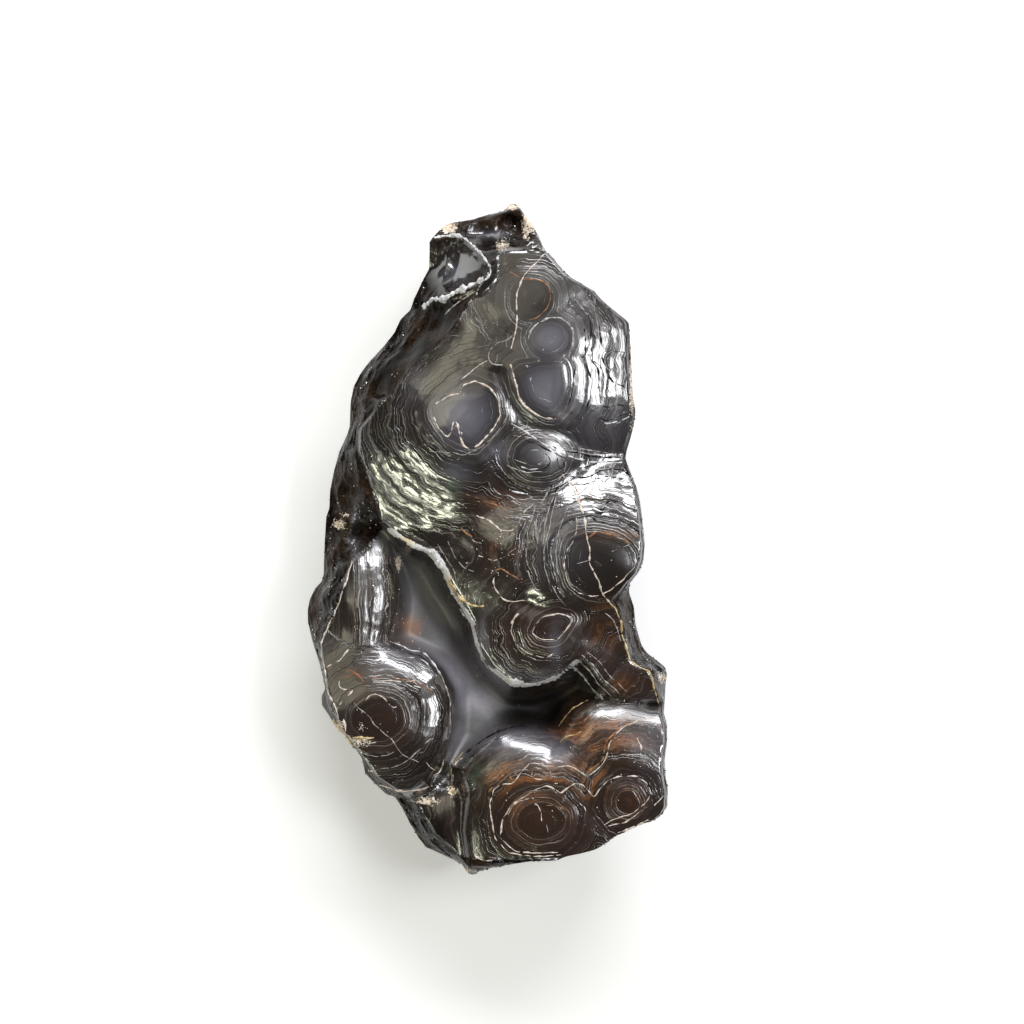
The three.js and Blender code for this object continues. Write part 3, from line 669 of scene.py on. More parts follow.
@dataclass(frozen=True)
class StoneShape:
    """The stone's form: heights of its face and the closed rings that run round it, in millimetres."""

    hollow_height: float = 20.3
    hollow_bowl: float = 44.0
    hollow_turn: float = 0.6
    hollow_axis: float = -4.0
    hollow_middle: float = -25.0
    hollow_flare: float = 0.003
    hollow_depth: float = 4.5
    hollow_foot: float = -38.0
    foot_slope: float = 0.4
    hollow_fade: Point = (0.8, 4.4)
    # Painted shade: how much polish the east end of the hollow loses, and the lean, start and width of that
    # shade.
    hollow_painted_shade: float = 0.9
    painted_shade_lean: float = 0.3
    painted_shade_start: float = -33.0
    painted_shade_width: float = 6.0
    lobe_blend: float = 3.2
    lobe_start: float = 0.5
    ring_warps: tuple[Lumps, Lumps] = (Lumps(0.45, 6.0, 3, 2), Lumps(0.45, 6.0, 5, 2))
    rim_width: float = 0.9
    roll_width: float = 19.0
    roll_power: float = 1.6
    left_power: float = 1.15
    right_power: float = 1.3
    left_chips: Chips = Chips(1.1, 9)
    right_chips: Chips = Chips(0.7, 7)
    full_flank: float = 5.0
    face_swell: float = 0.25
    end_blend: float = 1.5
    face_floor: float = 11.5
    side_break: Point = (0.0, 0.5)
    tip_break: Point = (57.6, 58.8)
    tip_lean: float = 0.12
    tip_shift: float = 0.6
    foot_break: Point = (63.2, 64.0)
    flat_break: float = 0.85
    flat_above: Point = (24, 30)
    flat_outside: Point = (0.5, 0.75)
    flat_inside: Point = (0.0, 0.1)
    shell_middle: Point = (-6.0, 54.5)
    shell_radius: float = 5.5
    shell_calm: float = 0.9
    ripples: tuple[Ripple, ...] = (Ripple(0.6, 3.1, 2.2), Ripple(0.4, 1.7, 3.1, 0.8))
    ripple_drift: Lumps = Lumps(0.9, 11.0, 21)
    ripple_least: float = 0.008
    ripple_height: float = 0.07
    swells: tuple[Lumps, ...] = (Lumps(0.05, 4.5, 31), Lumps(0.30, 13.0, 37))
    hollow_swell: float = 0.8
    flow: Point = (0.45, 0.89)
    flow_size: Point = (7, 1.7)
    streaks: Lumps = Lumps(0.12, 1.0, 33)
    break_scoops: tuple[Scoops, ...] = (Scoops(3.0, 5.5, 41), Scoops(1.3, 2.3, 47))
    break_grit: Lumps = Lumps(0.25, 1.1, 53, 2)
    break_height: float = 0.9
    shell_scoops: Scoops = Scoops(1.6, 3.6, 43)
    back_scoops: tuple[Scoops, ...] = (Scoops(3.0, 12.0, 61, 0.4), Scoops(1.1, 4.4, 67, 0.4))
    back_lumps: Lumps = Lumps(0.35, 1.0, 71, 2)
    back_lump_size: tuple[float, float, float] = (3, 1.3, 8)
    back_grit: Lumps = Lumps(0.10, 1.2, 73, 2)
    back_top: float = 0.9
    back_power: float = 0.62
    base_flat: float = 0.05
    back_axis: float = 17.0
    back_grip: float = 9.0
    least_cut: float = 0.55
    break_depth: float = 0.06
    chip_depth: float = 0.02
    centre_x: float = 0.1
    grain: Grain = Grain()

    def left_edge(self, y: Array) -> Array:
        """Where the polished face ends on the left."""
        return np.maximum(LEFT_EDGE.at(y), LEFT_OUTLINE.at(y) + 0.4)

    def right_edge(self, y: Array) -> Array:
        """Where the polished face ends on the right."""
        inner = np.minimum(RIGHT_OUTLINE.at(y) - self.rim_width, RIGHT_EDGE.at(y))
        return np.maximum(inner, self.left_edge(y) + 0.1)

    def _hollow(self, x: Array, y: Array) -> Array:
        """Height of the floor between the lobes."""
        aside = x - self.hollow_axis
        middle = self.hollow_middle - self.hollow_turn * aside
        bowl = (y - middle) ** 2 / (2 * self.hollow_bowl * self.hollow_depth)
        rise = self.hollow_depth * (1 - np.exp(-bowl))
        fall = self.foot_slope * np.maximum(0, self.hollow_foot - y)
        return self.hollow_height + rise + self.hollow_flare * aside**2 - fall

    def _core(self, x: Array, y: Array) -> tuple[Array, Array, Array]:
        """Lobes standing out of the hollow.

        Args:
            x: across positions.
            y: positions along the stone.

        Returns:
            Height, distance from the nearest growth ring, and how much of the point is hollow floor.
        """
        floor = self._hollow(x, y)
        z = floor
        top = floor + self.lobe_start
        growth = np.full(x.shape, FAR)
        shift_x, shift_y = (warp.at(self.grain, x, y, 0 * x) for warp in self.ring_warps)
        warp_x, warp_y = x + shift_x, y + shift_y
        for lobe in LOBES:
            raised = lobe.at(x, y)
            growth = np.where(raised > top, lobe.growth(warp_x, warp_y), growth)
            top = np.maximum(top, raised)
            z = smooth_max(z, raised, self.lobe_blend)
        return z, growth, 1 - step_between(*self.hollow_fade, z - floor)

    def survey(self, x: Array, y: Array, fine: bool = True) -> Survey:
        """Upper side of the stone.

        Args:
            x: across positions.
            y: positions along the stone.
            fine: whether ripples and broken texture are added.

        Returns:
            Heights and surface marks at each point.
        """
        left, right = self.left_edge(y), self.right_edge(y)
        outer_left, outer_right = LEFT_OUTLINE.at(y), RIGHT_OUTLINE.at(y)
        inner = np.clip(x, left, right)
        z, growth, hollow = self._core(inner, y)
        z = z - LEFT_ROLL.at(y) * np.clip(1 - (inner - left) / self.roll_width, 0, 1) ** self.roll_power
        t_left = np.clip((left - x) / (left - outer_left), 0, 1)
        t_right = np.clip((x - right) / np.maximum(outer_right - right, 0.05), 0, 1)
        reach_left = np.minimum(1, (left - outer_left) / self.full_flank)
        reach_right = np.minimum(1, (outer_right - right) / self.full_flank)
        z = z + (LEFT_TURN.at(y) - z) * t_left**self.left_power
        z = z + self.left_chips.at(x, y) * reach_left * np.sin(np.pi * t_left)
        z = z + (RIGHT_TURN.at(y) - z) * t_right**self.right_power
        z = z + self.right_chips.at(x, y) * reach_right * np.sin(np.pi * t_right)
        for ridge in RIDGES:
            z = z + ridge.at(x, y)
        for hole in HOLLOWS:
            z = z - hole.at(x, y)
        z = z + self.face_swell * waves(x, y)
        z = smooth_min(z, END_CEILING.at(y), self.end_blend)
        broken = step_between(*self.side_break, left - x)
        broken = np.maximum(broken, step_between(*self.side_break, x - right))
        broken = np.maximum(broken, step_between(*self.tip_break, y + self.tip_lean * x - self.tip_shift))
        broken = np.maximum(broken, step_between(*self.foot_break, -y))
        flat = step_between(*self.flat_above, y) * (1 - step_between(*self.flat_outside, t_left))
        flat = flat * step_between(*self.flat_inside, t_left)
        shell_x, shell_y = self.shell_middle
        shell = ((x - shell_x) / self.shell_radius) ** 2 + ((y - shell_y) / self.shell_radius) ** 2
        shell = np.exp(-(shell**2))
        grit = broken * (1 - self.flat_break * flat) * (1 - self.shell_calm * shell)
        if fine:
            z = z + self._relief(x, y, z, growth, 1 - broken, hollow, grit, shell)
        # Painted shade: the east end of the hollow, shaded under the ledge, fades to the near-black broken
        # colour and a duller finish.
        painted_shade = step_between(0.0, self.painted_shade_width, x + self.painted_shade_lean * (y - self.painted_shade_start))
        floor = hollow * (1 - broken)
        # painted sheen: how pale the hollow floor is painted
        painted_satin_sheen = floor * spots_at(PAINTED_SATIN_SHEEN_SPOTS, x, y)
        polish = (1 - broken) * (1 - self.hollow_painted_shade * hollow * painted_shade)
        gloss = np.maximum(np.maximum(polish, shell), spots_at(TIP_FACE, x, y))
        gloss = gloss * (1 - spots_at(DULL, x, y))
        return Survey(np.maximum(z, self.face_floor), growth, polish, gloss, floor, painted_satin_sheen, grit)

    def _relief(
        self, x: Array, y: Array, z: Array, growth: Array, polish: Array, hollow: Array, grit: Array,
        shell: Array,
    ) -> Array:
        """Ripples of the growth rings on the polish, shell-like breaks and grit on the flanks.

        Args:
            x: across positions.
            y: positions along the stone.
            z: heights before the relief.
            growth: distance from the nearest growth ring.
            polish: 1 on the polished face.
            hollow: 1 on the hollow's floor.
            grit: 1 where the break is coarse.
            shell: 1 in the glassy shell near the tip.

        Returns:
            Height to add.
        """
        grain, level = self.grain, 0 * x
        drift = self.ripple_drift.at(grain, x, y, level)
        ripple = sum(wave.at(growth, drift) for wave in self.ripples)
        strength = self.ripple_least + self.ripple_height * spots_at(RIPPLED, x, y)
        swell = sum(lumps.at(grain, x, y, level) for lumps in self.swells)
        cos, sin = self.flow
        along, across = (cos * x - sin * y) / self.flow_size[0], (sin * x + cos * y) / self.flow_size[1]
        floor = self.hollow_swell * swell + self.streaks.at(grain, along, across, level)
        added = polish * ((1 - hollow) * (strength * ripple + swell) + hollow * floor)
        broken = sum(scoops.at(grain, x, y, z) for scoops in self.break_scoops)
        broken = broken + self.break_grit.at(grain, x, y, z)
        return added + grit * self.break_height * broken + shell * self.shell_scoops.at(grain, x, y, level)

    def back_ring(self, y: Array, right: Array, left: Array, count: int) -> Array:
        """Under side of each ring.

        Args:
            y: ring positions along the stone.
            right: (x, z) of each ring's right turn.
            left: (x, z) of each ring's left turn.
            count: number of spans from turn to turn.

        Returns:
            Points of shape (rings, count - 1, 3).
        """
        t = np.arange(1, count) / count
        turn = np.pi * t[None, :]
        yy = np.broadcast_to(y[:, None], (len(y), count - 1))
        on_right = t[None, :] < 0.5
        side_x = np.where(on_right, right[:, :1], left[:, :1])
        side_z = np.where(on_right, right[:, 1:], left[:, 1:])
        axis = 0.5 * (right[:, :1] + left[:, :1])
        lift = BASE_LIFT.at(yy)
        reach = np.abs(np.cos(turn)) ** self.back_power
        rise = 1 - np.sin(turn) ** self.back_power
        height = np.maximum(0, (rise - self.base_flat) / (1 - self.base_flat))
        x = axis + (side_x - axis) * reach
        z = lift + (side_z - lift) * height
        grip = np.minimum(1, np.minimum(t, 1 - t)[None, :] * self.back_grip)
        bite = self.break_depth * (1 + facets(yy, 0.9 * z + 0.3 * x, 15))
        bite = bite + self.chip_depth * (1 + facets(yy, z, 6))
        x = np.where(height > 0, axis + (x - axis) * (1 - grip * bite), x)
        for facet in BACK_FACETS:
            ux, uz = x - axis, z - self.back_axis
            outward = facet.x * ux + facet.z * uz
            room = facet.reach - facet.y * yy
            cut = (outward > room) & (outward > 0)
            share = np.where(cut, np.maximum(room / np.where(cut, outward, 1), self.least_cut), 1)
            share = 1 + (share - 1) * grip
            x, z = axis + ux * share, self.back_axis + uz * share
        raised = step_between(0.05, 1.2, z) * np.minimum(1, grip * 1.5)
        dent = sum(scoops.at(self.grain, x, yy, z) for scoops in self.back_scoops)
        wide, long, high = self.back_lump_size
        dent = dent + self.back_lumps.at(self.grain, x / wide, yy / long, z / high)
        dent = np.minimum(dent + self.back_grit.at(self.grain, x, yy, z), self.back_top)
        inward = np.clip(np.abs(x - axis), 0.5, None)
        x = x - np.sign(x - axis) * raised * (self.back_top - dent) * np.minimum(1, inward / 3) * 0.9
        z = z + raised * 0.5 * dent * (1 - np.abs(x - axis) / np.maximum(np.abs(side_x - axis), 0.5)) ** 2
        return np.stack([x, yy, np.maximum(z, 0)], axis=-1)


# ---------------------------------------------------------------- node trees


class Num:
    """A number in a node tree. Arithmetic on it adds Math nodes."""

    def __init__(self, graph: "Graph", socket: bpy.types.NodeSocket) -> None:
        """Wraps one output socket of the graph."""
        self.graph = graph
        self.socket = socket

    def _math(self, operation: str, *values: "Num | float") -> "Num":
        """Adds one Math node on these values."""
        inputs = dict(enumerate(values))
        return self.graph.number("ShaderNodeMath", {"operation": operation}, inputs)

    def __add__(self, other: "Num | float") -> "Num":
        """Sum."""
        return self._math("ADD", self, other)

    def __radd__(self, other: float) -> "Num":
        """Sum, with the number first."""
        return self._math("ADD", other, self)

    def __sub__(self, other: "Num | float") -> "Num":
        """Difference."""
        return self._math("SUBTRACT", self, other)

    def __rsub__(self, other: float) -> "Num":
        """Difference, with the number first."""
        return self._math("SUBTRACT", other, self)

    def __mul__(self, other: "Num | float") -> "Num":
        """Product."""
        return self._math("MULTIPLY", self, other)

    def __rmul__(self, other: float) -> "Num":
        """Product, with the number first."""
        return self._math("MULTIPLY", other, self)

    def __truediv__(self, other: "Num | float") -> "Num":
        """Quotient."""
        return self._math("DIVIDE", self, other)

    def __rtruediv__(self, other: float) -> "Num":
        """Quotient, with the number first."""
        return self._math("DIVIDE", other, self)

    def __abs__(self) -> "Num":
        """Size without sign."""
        return self._math("ABSOLUTE", self)

    def whole(self) -> "Num":
        """Whole part, rounded down."""
        return self._math("FLOOR", self)

    def part(self) -> "Num":
        """Part after the point."""
        return self._math("FRACT", self)

    def at_most(self, other: "Num | float") -> "Num":
        """Lower of two numbers."""
        return self._math("MINIMUM", self, other)

    def at_least(self, other: "Num | float") -> "Num":
        """Higher of two numbers."""
        return self._math("MAXIMUM", self, other)

    def ramp(self, low: float, high: float, start: float = 0.0, end: float = 1.0) -> "Num":
        """Smooth step of this number.

        Args:
            low: value of this number at which the step begins.
            high: value at which it ends.
            start: result at low.
            end: result at high.

        Returns:
            The stepped number.
        """
        settings = {"interpolation_type": "SMOOTHSTEP"}
        return self.graph.number("ShaderNodeMapRange", settings, {0: self, 1: low, 2: high, 3: start, 4: end})

    def seams(self, width: float) -> "Num":
        """Thin line at each whole number, 1 on the line."""
        return abs((self + 0.5).part() - 0.5).ramp(width * 0.3, width, 1.0, 0.0)


Value = Num | bpy.types.NodeSocket | float | Sequence[float] | str | bpy.types.Material


class Graph:
    """Adds nodes to a tree and links them."""

    def __init__(self, tree: bpy.types.NodeTree) -> None:
        """Works in this tree."""
        self.tree = tree

    def node(
        self,
        kind: str,
        settings: Mapping[str, object] | None = None,
        inputs: Mapping[str | int, Value] | None = None,
    ) -> bpy.types.Node:
        """Adds any node.

        Args:
            kind: the node's type.
            settings: the node's own settings, set before its sockets.
            inputs: values or links, by socket name or number.

        Returns:
            The node.
        """
        node = self.tree.nodes.new(kind)
        for name, setting in (settings or {}).items():
            setattr(node, name, setting)
        for name, value in (inputs or {}).items():
            socket = node.inputs[name]
            if isinstance(value, Num):
                self.tree.links.new(value.socket, socket)
            elif isinstance(value, bpy.types.NodeSocket):
                self.tree.links.new(value, socket)
            else:
                socket.default_value = value
        return node

    def number(
        self,
        kind: str,
        settings: Mapping[str, object] | None = None,
        inputs: Mapping[str | int, Value] | None = None,
        output: str | int = 0,
    ) -> Num:
        """Adds any node and gives one of its number outputs."""
        return Num(self, self.node(kind, settings, inputs).outputs[output])

    def mark(self, name: str) -> Num:
        """A number stored on the mesh."""
        return self.number("ShaderNodeAttribute", {"attribute_name": name}, None, "Fac")

    def place(self) -> bpy.types.NodeSocket:
        """Position on the piece, in metres."""
        return self.node("ShaderNodeTexCoord").outputs["Object"]

    def noise(self, place: bpy.types.NodeSocket, size: float, detail: float = 2.0, rough: float = 0.5) -> Num:
        """Cloudy noise from 0 to 1 with lumps of this size in metres."""
        inputs = {"Vector": place, "Scale": 1 / size, "Detail": detail, "Roughness": rough}
        return self.number("ShaderNodeTexNoise", None, inputs, "Fac")

    def strata(self, along: Num, detail: float = 3.0, rough: float = 0.6) -> Num:
        """Uneven layers from 0 to 1 along a number."""
        inputs = {"W": along, "Scale": 1.0, "Detail": detail, "Roughness": rough}
        return self.number("ShaderNodeTexNoise", {"noise_dimensions": "1D"}, inputs, "Fac")

    def chance(self, number: Num) -> Num:
        """Random value from 0 to 1 that changes only with the whole part of a number."""
        settings, inputs = {"noise_dimensions": "1D"}, {"W": number.whole()}
        return self.number("ShaderNodeTexWhiteNoise", settings, inputs, "Value")

    def cells(self, place: bpy.types.NodeSocket, size: float) -> Num:
        """Distance to the nearest of scattered points, in cells of this size in metres."""
        inputs = {"Vector": place, "Scale": 1 / size, "Randomness": 1.0}
        return self.number("ShaderNodeTexVoronoi", None, inputs, "Distance")

    def mix(self, share: Num | float, first: Value, second: Value) -> bpy.types.NodeSocket:
        """Colour between two colours."""
        inputs = {0: share, 6: self._rgba(first), 7: self._rgba(second)}
        return self.node("ShaderNodeMix", {"data_type": "RGBA"}, inputs).outputs[2]

    def bump(self, height: Num, depth: float, strength: float = 1.0) -> bpy.types.NodeSocket:
        """Surface direction of a fine relief of this depth in metres."""
        inputs = {"Strength": strength, "Distance": depth, "Height": height}
        return self.node("ShaderNodeBump", None, inputs).outputs[0]

    def shader(self, looks: Mapping[str | int, Value]) -> bpy.types.NodeSocket:
        """Surface shader with these values."""
        return self.node("ShaderNodeBsdfPrincipled", None, looks).outputs[0]

    def blend(
        self, share: Num | float, first: bpy.types.NodeSocket, second: bpy.types.NodeSocket
    ) -> bpy.types.NodeSocket:
        """Shader between two shaders."""
        return self.node("ShaderNodeMixShader", None, {0: share, 1: first, 2: second}).outputs[0]

    def surface(self, shader: bpy.types.NodeSocket) -> None:
        """Adds the material's output."""
        self.node("ShaderNodeOutputMaterial", None, {"Surface": shader})

    @staticmethod
    def _rgba(colour: Value) -> Value:
        """A plain colour with its alpha, or the link as it is."""
        return (*colour, 1.0) if isinstance(colour, tuple) else colour


class Finish:
    """Base of the finishes: makes an empty material and its graph."""

    name: str

    def start(self) -> tuple[bpy.types.Material, Graph]:
        """New empty material and its graph."""
        material = bpy.data.materials.new(self.name)
        material.use_nodes = True
        material.node_tree.nodes.clear()
        return material, Graph(material.node_tree)


@dataclass(frozen=True)
class HematiteFinish(Finish):
    """Dark hematite with growth rings, brown and amber stains, a hollow floor with painted sheen, painted
    sheen and painted greenish reflections on the polish, coarse breaks and crust.
    """

    name = "hematite"
    dark: Colour = (0.0095, 0.0062, 0.0045)
    groove: Colour = (0.0025, 0.0020, 0.0018)
    pale_band: Colour = (0.023, 0.0150, 0.0112)
    ring: Colour = (0.40, 0.34, 0.30)
    brown: Colour = (0.046, 0.0160, 0.0066)
    amber: Colour = (0.25, 0.088, 0.018)
    # colour of the painted sheen on the hollow floor
    painted_satin_sheen: Colour = (0.30, 0.285, 0.335)
    # colour of the painted sheen on the polish
    painted_sheen: Colour = (0.200, 0.196, 0.240)
    # colour of the painted greenish reflection
    painted_green_reflection: Colour = (0.075, 0.115, 0.085)
    broken: Colour = (0.0055, 0.0046, 0.0042)
    broken_brown: Colour = (0.034, 0.0195, 0.0115)
    crust: Colour = (0.97, 0.86, 0.72)
    crust_dark: Colour = (0.34, 0.22, 0.13)
    lip: Colour = (0.95, 0.91, 1.0)
    gilt: Colour = (0.93, 0.74, 0.42)
    lip_dark: Colour = (0.22, 0.21, 0.21)
    density_index: float = 2.6
    broken_index: float = 1.15
    relief_depth: float = 0.00010
    broad: float = 0.15
    broad_share: float = 0.34
    cloud_size: float = 0.008
    patch_size: float = 0.0035
    speck_size: float = 0.0006
    scallop_size: float = 0.0046
    nick_size: float = 0.0017
    block_size: float = 0.0019
    chip_size: float = 0.0034
    grit_size: float = 0.0011
    wide_rings: float = 0.60
    narrow_rings: float = 1.45
    wide_width: float = 0.085
    narrow_width: float = 0.11

    def material(self) -> bpy.types.Material:
        """Builds the material."""
        material, g = self.start()
        place = g.place()
        polish, floor, painted_satin_sheen, rings = g.mark("polish"), g.mark("floor"), g.mark("painted_satin_sheen"), g.mark("rings")
        brown, amber, crust, lip = g.mark("brown"), g.mark("amber"), g.mark("crust"), g.mark("lip")
        cloud = g.noise(place, self.cloud_size, 3.0)
        patch = g.noise(place, self.patch_size, 2.0)
        speck = g.noise(place, self.speck_size, 3.0, 0.6)
        # Growth distance, scalloped and roughened, then cut into wide and narrow rings.
        grown = g.mark("growth")
        scallop = g.cells(place, self.scallop_size) * (grown * 0.28).at_most(1.5).at_least(0.0)
        scallop = scallop + g.cells(place, self.nick_size) * (grown * 0.15).at_most(0.5).at_least(0.0)
        growth = grown + scallop + (patch - 0.5) * 1.2 + (g.noise(place, 0.0011, 1.0) - 0.5) * 0.35
        drift = g.strata(growth * 0.16, 1.0) * 3.0
        wide, narrow = growth * self.wide_rings + drift, growth * self.narrow_rings + drift * 1.7 + 0.3
        ringed = polish * (1 - floor)
        fade = patch.ramp(0.30, 0.55, 0.15, 1.0)
        quiet_eye = grown.ramp(-0.4, 0.6, 0.25, 1.0)
        wide_line, narrow_line = wide.seams(self.wide_width), narrow.seams(self.narrow_width)
        lines = wide_line * g.chance(wide + 0.5).ramp(0.40, 0.95)
        lines = lines.at_least(narrow_line * g.chance(narrow + 0.5).ramp(0.62, 1.0) * 0.8)
        lines = lines * fade * ringed * rings * quiet_eye
        grooves = wide_line.at_least(narrow_line * 0.6) * ringed * rings * quiet_eye
        band = g.chance(wide + 40.0) * 0.65 + g.chance(narrow + 90.0) * 0.35
        # Colours, each laid over the last.
        colour = g.mix(ringed * band, self.dark, self.pale_band)
        stain = (brown * (0.5 + cloud * 0.5) * (0.45 + band * 1.2)).at_most(1.0)
        colour = g.mix(stain * polish, colour, self.brown)
        veined = (patch * 0.6 + speck * 0.9).ramp(0.62, 0.84, 0.10, 2.2)
        glow = (amber * (band * 2.6 - 0.75).at_least(0.10) * veined).at_most(1.0)
        colour = g.mix(glow * polish, colour, self.amber)
        colour = g.mix(grooves * 0.7, colour, self.groove)
        # painted sheen: pale bluish grey laid over the polish where it reflects the light
        colour = g.mix(g.mark("painted_sheen") * (0.35 + band * 0.9).at_most(1.0), colour, self.painted_sheen)
        # painted reflection of the greenish window light
        colour = g.mix(g.mark("painted_green_reflection") * patch.ramp(0.35, 0.6), colour, self.painted_green_reflection)
        # painted sheen on the hollow floor
        colour = g.mix((painted_satin_sheen * (0.55 + speck * 0.9)).at_most(1.0), colour, self.painted_satin_sheen)
        colour = g.mix(floor * amber, colour, self.amber)
        raw_colour = g.mix((cloud * 0.6 + speck * 0.5).ramp(0.48, 0.68), self.broken, self.broken_brown)
        # where gloss is low the broken colour takes over; in the east end of the hollow this is painted shade
        colour = g.mix(1 - g.mark("gloss"), colour, raw_colour)
        colour = g.mix(lines * 0.75, colour, self.ring)
        lip_here = (lip + speck * 0.9 + patch * 1.2 - 1.0).ramp(0.42, 0.52)
        pale = g.mix(g.mark("gilt"), self.lip, self.gilt)
        colour = g.mix(lip_here, colour, g.mix(speck.ramp(0.30, 0.44), self.lip_dark, pale))
        crust_here = (crust + speck * 1.6 + patch * 0.6 - 1.35).ramp(0.30, 0.45)
        colour = g.mix(crust_here, colour, g.mix(speck.ramp(0.40, 0.54), self.crust_dark, self.crust))
        # Roughness and fine relief.
        coarse = cloud.ramp(0.38, 0.62)
        chips = g.cells(place, self.chip_size) * 2.2 + g.cells(place, self.grit_size) * coarse * 1.6
        grit = g.mark("grit")
        rough = 0.05 + band * 0.10 + cloud * 0.05
        rough = rough + floor * 0.44 + grit * (speck * 0.12 + coarse * 0.16) + g.mark("silk") * 0.10
        rough = (rough + lines * 0.2 + lip_here * 0.3 + crust_here * 0.6).at_most(0.7)
        steps = (wide.part() - 0.5) * (g.chance(wide + 17.0) - 0.5) * 3.2
        steps = steps + (narrow.part() - 0.5) * (g.chance(narrow + 23.0) - 0.5) * 0.9
        calm = grown.ramp(-0.6, 1.4, 0.22, 1.0)
        blocks = g.cells(place, self.block_size) * rings * 0.9
        height = (steps * rings + blocks - grooves * 0.30) * ringed * calm + floor * speck * 0.25
        height = height + grit * (chips * 1.8 + speck * coarse * 1.2)
        height = height + crust_here * 1.0 + lip_here * speck * 2.0
        looks = {"Base Color": colour, "Normal": g.bump(height, self.relief_depth)}
        sharp = looks | {"Roughness": rough, "IOR": self.density_index}
        broad = looks | {"Roughness": rough + self.broad, "IOR": self.density_index}
        raw = looks | {"Roughness": rough, "IOR": self.broken_index}
        cut, veil, chip = (g.shader(values) for values in (sharp, broad, raw))
        face = g.blend(self.broad_share, cut, veil)
        g.surface(g.blend(g.mark("gloss"), chip, face))
        return material


@dataclass(frozen=True)
class MineralFinish(Finish):
    """One plain mineral with a mottled colour."""

    name: str
    low: Colour
    high: Colour
    rough: float
    index: float = 1.6
    lump: float = 0.0008
    relief: float = 0.6
    relief_depth: float = 0.00005

    def material(self) -> bpy.types.Material:
        """Builds the material."""
        material, g = self.start()
        mottle = g.noise(g.place(), self.lump, 2.0)
        colour = g.mix(mottle.ramp(0.35, 0.65), self.low, self.high)
        g.surface(g.shader({
            "Base Color": colour, "Roughness": self.rough + mottle * 0.2, "IOR": self.index,
            "Normal": g.bump(mottle, self.relief_depth, self.relief),
        }))
        return material


@dataclass(frozen=True)
class PaperFinish(Finish):
    """Matt pale paper under the stone."""

    name = "paper"
    colour: Colour = (0.92, 0.92, 0.92)
    rough: float = 0.9
    glow: float = 0.32
    glow_colour: Colour = (1.0, 1.0, 1.0)

    def material(self) -> bpy.types.Material:
        """Builds the material."""
        material, g = self.start()
        g.surface(g.shader({
            "Base Color": (*self.colour, 1.0), "Roughness": self.rough,
            "Emission Color": (*self.glow_colour, 1.0), "Emission Strength": self.glow,
        }))
        return material


class Tint(Enum):
    """Minerals of the thin seams and the loose grains."""

    CREAM = MineralFinish("cream_seam", (0.55, 0.44, 0.37), (0.90, 0.80, 0.72), 0.45)
    FLECK = MineralFinish("cream_flecks", (0.70, 0.58, 0.48), (0.95, 0.88, 0.80), 0.45)
    WHITE = MineralFinish("white_seam", (0.42, 0.42, 0.44), (0.93, 0.93, 0.95), 0.35)
    SILVER = MineralFinish("silver_seam", (0.20, 0.18, 0.175), (0.48, 0.44, 0.43), 0.30, 2.2)
    GOLD = MineralFinish("gold_seam", (0.46, 0.30, 0.12), (0.78, 0.62, 0.36), 0.5)
    DARK = MineralFinish("dark_seam", (0.0020, 0.0016, 0.0016), (0.010, 0.008, 0.008), 0.35, 1.3)
    RUST = MineralFinish("rust_seam", (0.20, 0.075, 0.025), (0.42, 0.19, 0.07), 0.5)
    CRUST = MineralFinish("crust_grains", (0.60, 0.44, 0.30), (0.95, 0.88, 0.76), 0.7)
    CRYSTAL = MineralFinish("hematite_crystals", (0.010, 0.010, 0.010), (0.03, 0.029, 0.027), 0.08, 2.9)


# ---------------------------------------------------------------- the pieces


def mesh_object(name: str, mesh: bpy.types.Mesh, material: bpy.types.Material) -> bpy.types.Object:
    """New object of one mesh and one material, linked to the scene.

    Args:
        name: object name.
        mesh: its mesh.
        material: its only material.

    Returns:
        The object.
    """
    mesh.materials.clear()
    mesh.materials.append(material)
    obj = bpy.data.objects.new(name, mesh)
    bpy.context.scene.collection.objects.link(obj)
    return obj


